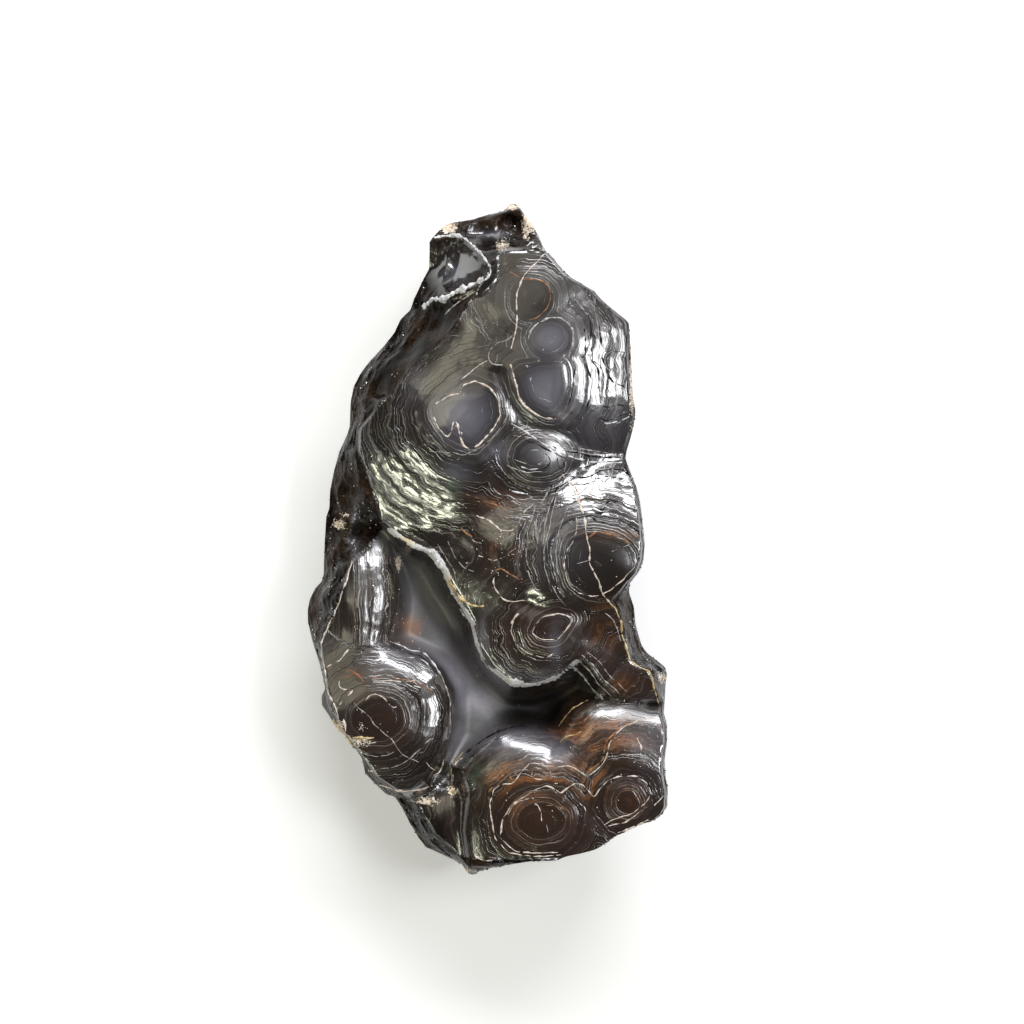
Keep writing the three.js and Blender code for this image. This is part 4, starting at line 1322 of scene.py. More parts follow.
@dataclass
class Stone:
    """The stone itself: closed rings across it, joined into one skin."""

    shape: StoneShape
    finish: HematiteFinish = HematiteFinish()
    rows: int = 328
    face_spans: int = 250
    back_spans: int = 48
    face_follow: float = 0.45
    row_follow: float = 0.3
    row_samples: int = 1353
    face_samples: int = 420
    sharp_degrees: float = 48.0
    lip_uneven: Lumps = Lumps(0.75, 2.2, 87, 2)
    crust_patches: Lumps = Lumps(1.0, 16, 81, 3)
    brown_patches: Lumps = Lumps(1.0, 20, 83, 2)
    back_crust: float = 0.55
    plain_rings: float = 0.3

    def row_positions(self) -> Array:
        """Ring positions along the stone, closer where the outline runs across it."""
        y = np.linspace(HALF_LENGTH, -HALF_LENGTH, self.row_samples)
        shift = np.abs(np.diff(LEFT_OUTLINE.at(y))) + np.abs(np.diff(RIGHT_OUTLINE.at(y)))
        run = np.concatenate([[0.0], np.cumsum(0.1 + self.row_follow * shift)])
        return np.interp(np.linspace(0, run[-1], self.rows + 1), run, y)

    def face_grid(self, y: Array) -> Array:
        """Across positions of each ring's face points, closer where the face is steep."""
        share = np.linspace(0, 1, self.face_samples)[None, :]
        left, right = LEFT_OUTLINE.at(y)[:, None], RIGHT_OUTLINE.at(y)[:, None]
        x = left + (right - left) * share
        z = self.shape.survey(x, np.broadcast_to(y[:, None], x.shape), fine=False).height
        run = np.cumsum(np.hypot(np.diff(x), self.face_follow * np.diff(z)), axis=1)
        run = np.concatenate([np.zeros((len(y), 1)), run], axis=1)
        marks = np.linspace(0, 1, self.face_spans + 1)
        return np.stack([np.interp(marks * r[-1], r, row) for r, row in zip(run, x)])

    def pale_lip(self, x: Array, y: Array) -> Array:
        """How pale the broken lip is: 1 along its pale courses, which don't run down its wall."""
        uneven = np.maximum(1.0 + self.lip_uneven.at(self.shape.grain, x, y, 0 * x), 0.3)
        pale = np.zeros(x.shape)
        for width, course in PALE_LIPS:
            pale = np.maximum(pale, np.exp(-((course_distance(x, y, course) / (width * uneven)) ** 2)))
        return pale * step_between(-0.75, -0.25, inside_distance(x, y, UPPER_MASS.outline))

    def points(self) -> tuple[Array, dict[str, Array]]:
        """All ring points and what is stored on them.

        Returns:
            Points of shape (rings, ring points, 3) in millimetres, and named marks of shape
            (rings, ring points).
        """
        y = self.row_positions()
        x = self.face_grid(y)
        yy = np.broadcast_to(y[:, None], x.shape).copy()
        face = self.shape.survey(x, yy)
        front = np.stack([x, yy, face.height], axis=-1)
        back = self.shape.back_ring(y, front[:, -1, ::2], front[:, 0, ::2], self.back_spans)
        under = np.zeros(back.shape[:2])
        behind = (self.shape.grain, back[..., 0], back[..., 1], back[..., 2])
        back_crust = self.back_crust * step_between(0.35, 0.6, self.crust_patches.at(*behind))
        back_brown = step_between(0.0, 0.5, self.brown_patches.at(*behind))
        fleck = face.polish * (0.35 + 0.65 * spots_at(FLECKED, x, yy))
        fleck = np.maximum(fleck, (1 - face.polish) * spots_at(SPECKLED, x, yy))
        plain = self.plain_rings
        marks = {
            "growth": (face.growth, under + FAR),
            "polish": (face.polish, under),
            "gloss": (face.gloss, under),
            "floor": (face.floor, under),
            # painted sheen on the hollow floor
            "painted_satin_sheen": (face.painted_satin_sheen, under),
            # painted sheen patches on the polish
            "painted_sheen": (face.gloss * spots_at(PAINTED_SHEEN_SPOTS, x, yy), under),
            # painted greenish reflection
            "painted_green_reflection": (face.polish * spots_at(PAINTED_GREEN_REFLECTION_SPOTS, x, yy), under),
            "gilt": (spots_at(GILT, x, yy), under),
            "grit": (face.grit, under + 1),
            "brown": (spots_at(BROWN, x, yy), back_brown),
            "amber": (spots_at(AMBER, x, yy), under),
            "crust": (spots_at(CRUST, x, yy), back_crust),
            "fleck": (fleck, under),
            "lip": (self.pale_lip(x, yy), under),
            "rings": (plain + (1 - plain) * spots_at(RIPPLED, x, yy), under),
            "silk": (spots_at(SILKY, x, yy), under),
        }
        points = np.concatenate([front, back], axis=1)
        return points, {name: np.concatenate(sides, axis=1) for name, sides in marks.items()}

    def build(self) -> bpy.types.Object:
        """Makes the stone's mesh and dresses it."""
        points, marks = self.points()
        rings, around = points.shape[:2]
        r, i = np.meshgrid(np.arange(rings - 1), np.arange(around), indexing="ij")
        j = (i + 1) % around
        here, beyond = r * around, (r + 1) * around
        quads = np.stack([here + i, beyond + i, beyond + j, here + j], axis=-1)
        flat = points.reshape(-1, 3)
        ends = np.stack([points[0].mean(axis=0), points[-1].mean(axis=0)])
        k = np.arange(around)
        tip, foot, last = len(flat), len(flat) + 1, (rings - 1) * around
        n = (k + 1) % around
        caps = [(tip, int(a), int(b)) for a, b in zip(k, n)]
        caps += [(foot, int(last + b), int(last + a)) for a, b in zip(k, n)]
        vertices = np.concatenate([flat, ends])
        vertices[:, 0] -= self.shape.centre_x
        mesh = bpy.data.meshes.new("hematite_stone")
        mesh.from_pydata((vertices * MM).tolist(), [], quads.reshape(-1, 4).tolist() + caps)
        for name, values in marks.items():
            stored = mesh.attributes.new(name, "FLOAT", "POINT")
            ends_value = [values[0].mean(), values[-1].mean()]
            stored.data.foreach_set("value", np.concatenate([values.ravel(), ends_value]).astype(np.float32))
        mesh.shade_smooth()
        mesh.set_sharp_from_angle(angle=math.radians(self.sharp_degrees))
        mesh.update()
        return mesh_object("hematite_stone", mesh, self.finish.material())


@dataclass(frozen=True)
class Seam:
    """A thin mineral line on the face: its width, tint and course in millimetres."""

    width: float
    tint: Tint
    course: tuple[Point, ...]
    closed: bool = False


@dataclass
class SeamNet:
    """All seams of one tint, laid on the stone's face."""

    shape: StoneShape
    tint: Tint
    seams: tuple[Seam, ...]
    spacing: float = 0.35
    step: float = 0.3
    wander: tuple[Lumps, Lumps] = (Lumps(0.16, 1.6, 91, 2), Lumps(0.16, 1.6, 95, 2))
    sink: float = 0.55
    lump_size: float = 1.1
    sides: int = 6

    def _laid(self, seam: Seam) -> tuple[Array, Array]:
        """Points of one seam on the face and their radii, in metres."""
        course = np.array(seam.course + (seam.course[:1] if seam.closed else ()))
        run = np.concatenate([[0.0], np.cumsum(np.hypot(*np.diff(course, axis=0).T))])
        marks = np.linspace(0, run[-1], max(3, int(run[-1] / self.step)))
        soft = np.linspace(0, 1, len(marks))
        x, y = (np.interp(marks, run, course[:, k]) for k in (0, 1))
        for _ in range(2):
            x[1:-1] = (x[:-2] + 2 * x[1:-1] + x[2:]) / 4
            y[1:-1] = (y[:-2] + 2 * y[1:-1] + y[2:]) / 4
        shift_x, shift_y = (lumps.at(self.shape.grain, x, y, 0 * x) for lumps in self.wander)
        x, y = x + shift_x, y + shift_y
        radius = 0.5 * seam.width * (0.55 + 0.45 * np.sin(np.pi * np.clip(soft, 0.04, 0.96)) ** 0.5)
        z = self.shape.survey(x, y).height - self.sink * radius
        return np.stack([x - self.shape.centre_x, y, z], axis=-1) * MM, radius * MM

    def _tree(self) -> bpy.types.NodeTree:
        """Geometry tree that turns each course into a thin bead of uneven width."""
        g, inputs = geometry_graph("seam_bead", {
            "Spacing": "Float", "Lump Size": "Float", "Mineral": "Material",
        })
        spaced = g.node("GeometryNodeResampleCurve", {"mode": "LENGTH"}, {
            "Curve": inputs[0], "Length": inputs[1],
        })
        place = g.node("GeometryNodeInputPosition").outputs[0]
        scale = 1 / Num(g, inputs[2])
        lump = g.number("ShaderNodeTexNoise", None, {"Vector": place, "Scale": scale, "Detail": 2.0})
        radius = g.number("GeometryNodeInputRadius") * (lump * 2.4 - 0.2).at_least(0.35)
        uneven = g.node("GeometryNodeSetCurveRadius", None, {"Curve": spaced.outputs[0], "Radius": radius})
        profile = g.node("GeometryNodeCurvePrimitiveCircle", None, {"Resolution": self.sides, "Radius": 1.0})
        bead = g.node("GeometryNodeCurveToMesh", None, {
            "Curve": uneven.outputs[0], "Profile Curve": profile.outputs[0], "Scale": radius,
            "Fill Caps": True,
        })
        smooth = g.node("GeometryNodeSetShadeSmooth", None, {"Geometry": bead.outputs[0]})
        return dressed_tree(g, smooth.outputs[0], inputs[3])

    def build(self) -> bpy.types.Object:
        """Makes the seams as one plain mesh."""
        curve = bpy.data.curves.new(self.tint.value.name, "CURVE")
        curve.dimensions = "3D"
        for seam in self.seams:
            points, radii = self._laid(seam)
            spline = curve.splines.new("POLY")
            spline.points.add(len(points) - 1)
            spline.points.foreach_set("co", np.column_stack([points, np.ones(len(points))]).ravel())
            spline.points.foreach_set("radius", radii)
        source = bpy.data.objects.new(self.tint.value.name + "_courses", curve)
        bpy.context.scene.collection.objects.link(source)
        material = self.tint.value.material()
        values = {"Spacing": self.spacing * MM, "Lump Size": self.lump_size * MM, "Mineral": material}
        return realized(source, self._tree(), values, self.tint.value.name + "s", material)


def geometry_graph(name: str, sockets: Mapping[str, str]) -> tuple[Graph, Sequence[bpy.types.NodeSocket]]:
    """Starts a geometry tree.

    Args:
        name: name of the tree.
        sockets: kinds of its inputs after the geometry, by name.

    Returns:
        The tree's graph and its inputs.
    """
    tree = bpy.data.node_groups.new(name, "GeometryNodeTree")
    for label, kind in ({"Geometry": "Geometry"} | dict(sockets)).items():
        tree.interface.new_socket(label, in_out="INPUT", socket_type="NodeSocket" + kind)
    tree.interface.new_socket("Geometry", in_out="OUTPUT", socket_type="NodeSocketGeometry")
    g = Graph(tree)
    return g, g.node("NodeGroupInput").outputs


def dressed_tree(
    g: Graph, geometry: bpy.types.NodeSocket, mineral: bpy.types.NodeSocket
) -> bpy.types.NodeTree:
    """Ends a geometry tree: makes its result real, dresses it and gives it out."""
    real = g.node("GeometryNodeRealizeInstances", None, {"Geometry": geometry})
    dressed = g.node("GeometryNodeSetMaterial", None, {"Geometry": real.outputs[0], "Material": mineral})
    g.node("NodeGroupOutput", None, {0: dressed.outputs[0]})
    return g.tree


def realized(
    source: bpy.types.Object,
    tree: bpy.types.NodeTree,
    values: Mapping[str, object],
    name: str,
    material: bpy.types.Material,
) -> bpy.types.Object:
    """Runs a geometry tree on an object once and keeps the result as a plain mesh.

    Args:
        source: object that the tree works on. It is removed.
        tree: the geometry tree.
        values: its inputs, by name.
        name: name of the new object.
        material: material of the result.

    Returns:
        The new object, with no modifier.
    """
    modifier = source.modifiers.new(tree.name, "NODES")
    modifier.node_group = tree
    for item in tree.interface.items_tree:
        if item.item_type == "SOCKET" and item.in_out == "INPUT" and item.name in values:
            modifier[item.identifier] = values[item.name]
    bpy.context.view_layer.update()
    graph = bpy.context.evaluated_depsgraph_get()
    mesh = bpy.data.meshes.new_from_object(source.evaluated_get(graph), depsgraph=graph)
    bpy.data.objects.remove(source, do_unlink=True)
    mesh.name = name
    return mesh_object(name, mesh, material)


@dataclass
class GrainScatter:
    """Small loose grains or crystals on the stone, where one of its marks says so."""

    name: str
    tint: Tint
    mark: str
    per_square_metre: float
    size: float
    seed: int
    low: float = 0.3
    above: float = 0.0
    patches: float = 420.0
    smallest: float = 0.35
    largest: float = 1.3
    form: tuple[float, float, float] = (1.0, 0.8, 0.55)

    def _tree(self) -> bpy.types.NodeTree:
        """Geometry tree that scatters chips over a skin by a stored mark."""
        g, inputs = geometry_graph("chip_scatter", {
            "Density": "Float", "Chip Size": "Float", "Least Mark": "Float", "Lowest": "Float",
            "Seed": "Int", "Mineral": "Material",
        })
        mark = g.number("GeometryNodeInputNamedAttribute", {"data_type": "FLOAT"}, {"Name": self.mark})
        place = g.node("GeometryNodeInputPosition").outputs[0]
        height = g.number("ShaderNodeSeparateXYZ", None, {0: place}, 2)
        patch = g.number("ShaderNodeTexNoise", None, {"Vector": place, "Scale": self.patches, "Detail": 2.0})
        wanted = (mark + patch * 0.9 - 0.45 - Num(g, inputs[3])).at_least(0.0) * Num(g, inputs[1])
        wanted = wanted * (height - Num(g, inputs[4])).ramp(0.0, 0.001)
        chips = g.node("GeometryNodeDistributePointsOnFaces", None, {
            "Mesh": inputs[0], "Density": wanted, "Seed": inputs[5],
        })
        size = g.number("FunctionNodeRandomValue", {"data_type": "FLOAT"}, {
            "Min": self.smallest, "Max": self.largest, "Seed": inputs[5],
        }, 1) * Num(g, inputs[2])
        turn = g.node("FunctionNodeRandomValue", {"data_type": "FLOAT_VECTOR"}, {
            0: (0.0, 0.0, 0.0), 1: (6.28, 6.28, 6.28), "Seed": inputs[5],
        })
        chip = g.node("GeometryNodeMeshIcoSphere", None, {"Radius": 1.0, "Subdivisions": 1})
        flat = g.node("GeometryNodeTransform", None, {"Geometry": chip.outputs[0], "Scale": self.form})
        placed = g.node("GeometryNodeInstanceOnPoints", None, {
            "Points": chips.outputs[0], "Instance": flat.outputs[0], "Rotation": turn.outputs[0],
            "Scale": size,
        })
        return dressed_tree(g, placed.outputs[0], inputs[6])

    def build(self, stone: bpy.types.Object) -> bpy.types.Object:
        """Scatters the grains over a copy of the stone's skin and keeps them as one mesh."""
        source = bpy.data.objects.new(self.name + "_skin", stone.data.copy())
        bpy.context.scene.collection.objects.link(source)
        material = self.tint.value.material()
        values = {
            "Density": self.per_square_metre, "Chip Size": self.size * MM, "Least Mark": self.low,
            "Lowest": self.above * MM, "Seed": self.seed, "Mineral": material,
        }
        return realized(source, self._tree(), values, self.name, material)


C, W, S, G, R, D = Tint.CREAM, Tint.WHITE, Tint.SILVER, Tint.GOLD, Tint.RUST, Tint.DARK
SEAMS = (
    # crack from the tip into the squiggle
    Seam(0.26, C, (
        (12.1, 57.2), (10.7, 55.8), (9.1, 54.2), (7.9, 53), (7.1, 51.8), (6.7, 50.6), (6.1, 49),
        (5.9, 47.4), (6.1, 44), (6.1, 42.4), (5.9, 41.2), (5.3, 39.8), (4.9, 38),
    )),
    Seam(0.16, R, ((4.7, 53.2), (6.7, 52.2))),
    Seam(0.50, W, (
        (-10.5, 60.4), (-8.4, 60.9), (-5.6, 60.8), (-4.3, 60.2), (-2.7, 58.6), (-1.1, 57), (0.3, 55),
        (0.9, 53.2), (0.2, 51.8), (-1.4, 50.8),
    )),
    Seam(1.10, W, (
        (-0.5, 51.8), (-1.9, 51), (-3.6, 50.2), (-6.1, 49.2), (-8.6, 47.9), (-10.7, 48), (-12.3, 46.4),
    )),
    Seam(0.30, S, ((-2.2, 49.4), (-5, 47.6), (-8.4, 45))),
    Seam(0.34, W, ((10, 61), (11.2, 59), (11.9, 57.4))),
    Seam(0.26, W, ((8, 58.6), (9.3, 59.6), (9, 57.8), (10.1, 58.6))),
    Seam(0.24, S, (
        (5.9, 41.2), (3.9, 39.6), (2.3, 39.2), (1.1, 38.2), (0.3, 36.6), (0.5, 35.6), (1.5, 34.8),
        (3.3, 34.8),
    )),
    Seam(0.18, C, ((0.1, 35.6), (-1.3, 34.8), (-2.7, 33.6), (-3.9, 32.6), (-5.9, 31))),
    # third eye
    Seam(0.34, C, (
        (-9.9, 27), (-7.7, 28.6), (-5.3, 29.1), (-4.5, 30.8), (-2.1, 31.6), (0.7, 30.2), (2.3, 27.8),
        (2.9, 25), (1.7, 22.4), (0.1, 20.7), (-1.7, 18.8), (-3.4, 18), (-4.7, 18.8), (-5.3, 21.2),
        (-5.8, 23.4), (-6.4, 23.7), (-6.9, 21.2), (-7.7, 20.3), (-9.3, 22), (-10.4, 24.5),
    )),
    # edge of the fourth eye and first rings
    Seam(0.42, C, (
        (4.8, 34.8), (5.2, 33.2), (5.9, 30.5), (6.6, 28.3), (7.3, 26.7), (9.9, 25), (11.8, 24.2),
        (13.7, 24),
    )),
    Seam(0.16, S, ((21.6, 48.6), (21.5, 46.2), (22.1, 43), (22.4, 38.6), (22.3, 35.4))),
    Seam(0.44, S, (
        (8.2, 39.7), (8.8, 41.6), (10.5, 43.2), (12.6, 44.1), (14.8, 44), (16.4, 42.9), (17.3, 41.3),
        (17.2, 38.6), (16.4, 36.4),
    )),
    Seam(0.26, R, (
        (7.2, 51.7), (9.4, 51.7), (11.3, 51.4), (12.6, 50), (12.9, 47.8), (11.8, 45.7), (9.9, 44),
        (7.8, 43.5),
    )),
    # valley between the upper domes
    Seam(0.20, S, ((10.7, 20.4), (15.9, 18), (20.7, 17), (27.1, 16.8))),
    Seam(0.16, S, (
        (3.7, 31), (4.7, 28), (4.3, 25), (2.7, 22), (0.7, 19.8), (-1.7, 18), (-4.3, 16.8),
        (-6.9, 17.4), (-11.3, 17.6),
    )),
    Seam(0.34, W, (
        (5.1, 23.2), (7.3, 21.8), (11.7, 18.9), (15.5, 17), (20.3, 15.6), (26.9, 15.4),
    )),
    Seam(0.22, S, (
        (4.9, 25.2), (5.9, 23.4), (9.3, 21.8), (13.5, 19.6), (17.9, 18.2), (22.2, 17.7), (26.9, 16.8),
    )),
    Seam(0.22, S, ((5.4, 20.8), (9.7, 20.1), (13.5, 17.7), (15.9, 15.6), (15.5, 13.6))),
    Seam(0.26, S, ((15.5, 13.2), (12.6, 10.2), (10.7, 6.9), (9.7, 3), (10.2, -0.8))),
    Seam(0.20, S, ((16.7, 11.4), (14.1, 9.8), (12.6, 6.9), (11.6, 3.1), (11.4, -0.8))),
    Seam(0.20, S, ((15.9, 13.2), (20.3, 14.1), (25.1, 14.1), (28.9, 12.2))),
    # the small dome between the upper domes
    Seam(0.26, D, ((7.6, 19.8), (10.4, 18.9), (12.6, 17.6), (14.4, 16.9), (16.2, 16.1))),
    Seam(0.18, D, ((13.8, 17.4), (14.2, 15.8), (14.4, 14.4), (15.2, 13.9), (15.6, 15), (15, 16.2))),
    Seam(0.16, D, ((10.6, 17.6), (12.2, 16.8), (12.8, 15.6), (12, 14.4), (10.4, 13.8))),
    Seam(0.14, S, ((8.8, 17.8), (10, 18), (11.4, 17.4), (11.8, 16.2), (10.8, 15.2), (9.4, 15.2))),
    Seam(0.20, S, ((4.4, 16.8), (6.4, 15.6), (8.4, 15), (10.8, 15))),
    Seam(0.18, S, ((4, 15), (6.2, 13.9), (8.6, 13.4), (11, 13.6))),
    Seam(0.26, W, ((7, 14.6), (8.6, 14), (10.2, 14.2))),
    # crusted parts of the overhanging lip
    Seam(0.60, W, ((-12.4, -1.8), (-11.4, -2.2), (-10.6, -2.6))),
    Seam(1.00, W, ((-9.9, -3.2), (-9.3, -4.4), (-8.7, -5.6), (-8.3, -6.4))),
    Seam(0.55, W, ((-7.3, -9.6), (-6.6, -10.6), (-5, -12.4), (-3.7, -14), (-2.8, -15.6), (-2.5, -16.6))),
    Seam(0.75, W, ((-5.2, -13.6), (-4.2, -15), (-3.3, -16.2))),
    Seam(0.40, G, ((-7.5, -7.8), (-6.8, -9.4), (-5.6, -11.2), (-4, -12.3))),
    Seam(0.45, W, ((-2.2, -20), (-1.2, -23), (0.4, -25.4), (2.4, -27))),
    Seam(0.40, W, ((3.2, -27.6), (5.6, -28.6), (8.6, -28.7), (11.4, -28.1))),
    # brown middle
    Seam(0.28, C, (
        (-5.7, 7.5), (-4, 6.8), (-2.4, 5.6), (-1.4, 4.6), (0, 4.2), (1.2, 3.5), (2.2, 2.7), (2.6, 2),
        (4.6, 1.8), (5.6, 2.2),
    )),
    Seam(0.38, W, ((4.6, 10.1), (5.6, 9.5), (7, 9.3), (8.2, 9.2))),
    Seam(0.28, C, (
        (1.6, -7.4), (1.3, -8.2), (1.7, -9.5), (2.2, -10.3), (3, -11.3), (3.9, -12), (5.8, -12.1),
        (7, -11.8), (8.1, -12),
    )),
    Seam(0.26, C, ((-1.5, -3.1), (0, -3.6), (1.4, -4), (2.2, -3.9), (3, -3.5))),
    Seam(0.20, R, ((-4, 9.1), (-2.4, 8.6), (-0.6, 7.8), (1.4, 7.2), (2.6, 6.6), (4.2, 6.4), (5.4, 6.8))),
    Seam(0.22, S, ((0.4, 11.4), (1.6, 10), (2.6, 9.1), (4.4, 8.9), (5.6, 8), (7.6, 8), (9.2, 8.6))),
    Seam(0.50, R, ((-5, 2.6), (-4, 1.4), (-2.6, 0.6), (-1.8, -0.6))),
    Seam(0.16, S, ((-9.6, -0.8), (-8.2, -3.4), (-6.8, -5.2), (-6.2, -7), (-5.9, -8.2))),
    Seam(0.14, S, ((-7.6, -0.2), (-6.4, -3), (-4.6, -5.4), (-2.6, -6.2))),
    Seam(0.16, S, ((5.9, -1.5), (4.4, -2.4), (3.4, -3.4))),
    Seam(0.34, R, ((1.6, -6), (3, -5.6), (4.6, -6.8), (6, -7.4), (7, -8.4))),
    Seam(0.26, S, ((9.6, 7.4), (7.6, 5.6), (6.2, 3.2), (5.4, 1.4), (3.6, -0.4))),
    Seam(0.18, S, (
        (9.8, 7), (9.3, 5.2), (8.9, 3.6), (8.3, 1.8), (8, -0.2), (7.9, -3.6), (8.4, -6.6), (9.6, -9.2),
        (11.2, -11.6),
    )),
    Seam(0.22, S, (
        (14, 9.4), (13.6, 7.4), (13, 5), (12.6, 3), (12, 0.4), (11.4, -2.2), (11.5, -5.4),
        (12.6, -8.4), (14.2, -11.2), (15.8, -13),
    )),
    Seam(0.18, S, ((16.2, 6.8), (15.2, 4.4), (14.4, 2), (13.8, -2.4), (14, -6), (15.4, -9.4))),
    Seam(0.30, C, ((5, -16.6), (5.6, -15.4), (6.4, -14.6))),
    # long crack down the right side
    Seam(0.34, C, (
        (15.1, 13.1), (17, 10.9), (17.8, 9), (18.6, 7.1), (19.4, 4.7), (19.7, 2.2), (20.1, -0.8),
        (20.5, -1.3), (20.4, -4.2), (21.1, -5.9), (22.4, -8.3), (23, -10.8), (24.6, -12.4),
    )),
    Seam(0.36, G, (
        (24.6, -12.4), (25.7, -13.7), (26.8, -16.2), (27, -18.6), (27.8, -21.3), (28.7, -24.1),
        (30, -25.1), (32.2, -26), (33, -27.6), (33.5, -30), (34.4, -32.7),
    )),
    Seam(0.24, S, ((23.7, -14.4), (25.1, -15.6), (26.3, -18), (26.7, -20))),
    Seam(0.50, W, ((17.2, -25.2), (19.2, -27), (20.9, -29.4), (23.3, -31.8))),
    Seam(0.34, W, ((18.5, -24), (20.6, -26), (22.4, -28.6), (24.9, -31))),
    Seam(0.26, S, ((18.9, -22.9), (21.4, -24.9), (23.4, -27.8), (26.4, -30.4))),
    Seam(0.20, S, ((19.6, -22), (22.4, -24), (24.6, -27), (27.8, -30))),
    Seam(0.24, C, (
        (17.9, 4.4), (17.9, 1.6), (17, -0.6), (16, -1.8), (15.6, -3.6), (15.4, -5), (15.9, -7.4),
        (17, -9.4), (18.6, -10.6), (20.4, -11), (22.4, -11), (24.6, -9.8), (26.4, -8.4), (28.4, -6.4),
        (29.4, -5.2),
    )),
    Seam(0.40, R, ((20.4, 0.6), (22, 1.9), (24.2, 1.2), (26.6, 0.6), (28.4, -0.6))),
    Seam(0.14, S, ((24.8, -2.2), (26.6, -1.4), (28.4, -0.9))),
    Seam(0.12, S, ((18, -4.6), (19.6, -4.2), (20.6, -3.9))),
    # dark rings across the bright slopes
    Seam(0.30, D, (
        (17.2, 35.4), (17.4, 33.6), (17.2, 31.4), (17, 29.4), (16.6, 27.6), (16.2, 26.2), (17, 25.2),
    )),
    Seam(0.26, D, ((19.4, 42), (19.6, 39.4), (19.7, 36.8), (19.1, 34.9))),
    Seam(0.24, D, ((19.8, 34.6), (20.4, 33.2), (20.7, 31.8), (20.2, 30.2))),
    Seam(0.22, D, ((20.7, 29.4), (20.6, 28), (20.1, 26.8), (19.7, 25.4))),
    Seam(0.28, D, (
        (20.2, 44.6), (20.7, 42), (20.7, 39.6), (20.9, 37.4), (21, 35.4), (22, 34.2), (22.4, 32.4),
        (22.4, 30.4), (22.6, 28.8), (22.5, 27.4), (23.2, 26.6), (24.2, 26.3), (25.6, 26.9), (27.4, 26.8),
    )),
    Seam(0.36, D, (
        (22.4, 42.6), (22.6, 40), (22.7, 37.8), (23, 35.8), (23.8, 34.2), (24.3, 32.6), (25, 31.4),
        (26.4, 30.8), (28, 30.2),
    )),
    Seam(0.20, D, ((21.2, 35.5), (22.4, 34.8), (23.2, 33.4), (23.6, 31.4), (24.4, 29.2))),
    Seam(0.16, D, ((23.2, 38.1), (25, 37.6), (27.8, 37.2))),
    Seam(0.30, D, ((22.2, 24.4), (23.6, 23.8), (24.6, 23.9), (26, 24.6), (28.2, 25.2))),
    Seam(0.34, W, ((22.6, 23.9), (23.8, 23.1), (25, 23.3), (27, 23.9), (28.4, 24.6))),
    Seam(0.32, D, (
        (13.2, 18.6), (14.6, 17.8), (16.6, 17.5), (18.4, 17.4), (20, 16.7), (23.4, 16.5), (27, 16.3),
    )),
    Seam(0.22, D, ((18.6, 14.3), (21, 15), (23, 15.7), (26.9, 15.7))),
    Seam(0.32, D, (
        (16.4, 12.6), (19.6, 12.4), (21.2, 13), (22.6, 13.8), (25, 14.1), (27.2, 13.9), (28.3, 12.8),
    )),
    Seam(0.24, D, ((17.4, 11), (20.6, 11.2), (22, 12.2), (24, 12.7), (26.2, 12.4), (28.4, 11.4))),
    Seam(0.32, D, (
        (20.2, 7.3), (21.4, 6.6), (22.6, 6), (23.3, 6.1), (23.7, 7.3), (24.6, 8), (26, 7.8),
        (27.8, 6.6),
    )),
    Seam(0.24, D, ((19.8, 5.7), (21.4, 5.6), (22.6, 5.3), (23.6, 5.7))),
    Seam(0.32, D, ((20.2, 5), (21.8, 3.8), (23, 3.6), (24.6, 3))),
    Seam(0.22, D, ((12, 7), (12.4, 9), (13.2, 11.2), (14.4, 12.8))),
    Seam(0.28, D, ((13, 6.4), (13.6, 8.8), (14.2, 10.6), (15.6, 12.1))),
    Seam(0.22, D, ((14.6, 6.4), (15, 9.4), (15.6, 10.8), (16.8, 11.4))),
    Seam(0.30, R, ((16.6, 11.4), (17.5, 10.7), (18.2, 9.3), (18.8, 7.4))),
    # lower dome of the upper mass
    Seam(0.20, C, (
        (9.1, -18.4), (9.9, -16.7), (11.5, -15.1), (14.3, -14.6), (16.4, -15.1), (17, -16.2),
        (15.9, -17.8), (14, -19.7), (11.5, -19.7), (9.9, -19.2),
    ), True),
    Seam(0.20, C, (
        (6.1, -14.8), (5.3, -16.4), (4.9, -18.6), (6.1, -20.8), (8.3, -22.4), (10.7, -23.2), (12.3, -23.2),
        (13.7, -22.1),
    )),
    Seam(0.50, G, ((-7.6, -8), (-6.4, -9.4), (-5.3, -11.3), (-3.4, -12.7), (-1.5, -13.2), (-0.4, -13.1))),
    # left dome
    # painted highlight: white seam along the upper-right rim, where light catches it
    Seam(0.45, W, (
        (-19.4, -20.2), (-17.6, -20.9), (-15.4, -22), (-13.2, -22.4), (-11.6, -23.4), (-10.2, -25),
        (-9.2, -26.8),
    )),
    Seam(0.20, D, (
        (-19.2, -20.9), (-17, -22), (-15, -22.8), (-13, -23.2), (-11.6, -24.4), (-10.4, -26),
    )),
    # painted highlight: a second white arc inside the upper-right rim
    Seam(0.28, W, ((-15.8, -23.4), (-13.6, -23.6), (-12, -24.4), (-10.8, -25.8), (-9.8, -27.2))),
    # painted highlight: thin bright line down the right rim
    Seam(0.26, S, ((-9.2, -26.8), (-8.6, -28), (-7.7, -30), (-7.3, -32), (-7.2, -35), (-7.4, -38.6))),
    Seam(0.24, S, (
        (-22.4, -26.4), (-20.6, -25.7), (-18.6, -25.7), (-16.8, -26.2), (-14.4, -26.8), (-13.4, -27.4),
    )),
    Seam(0.26, C, ((-22.6, -28), (-21.6, -28.2), (-20.6, -28), (-18.4, -28), (-17, -28.2))),
    Seam(0.26, C, ((-16, -28.2), (-14.2, -28))),
    Seam(0.30, C, ((-14.4, -29), (-13.2, -29.4))),
    Seam(0.30, C, ((-11, -29.2), (-10.4, -29.7))),
    Seam(0.26, R, (
        (-23, -27.6), (-20, -27.2), (-17.4, -27.6), (-14.4, -28.2), (-12.2, -29), (-11, -30.4),
        (-10.4, -31.8),
    )),
    Seam(0.20, C, (
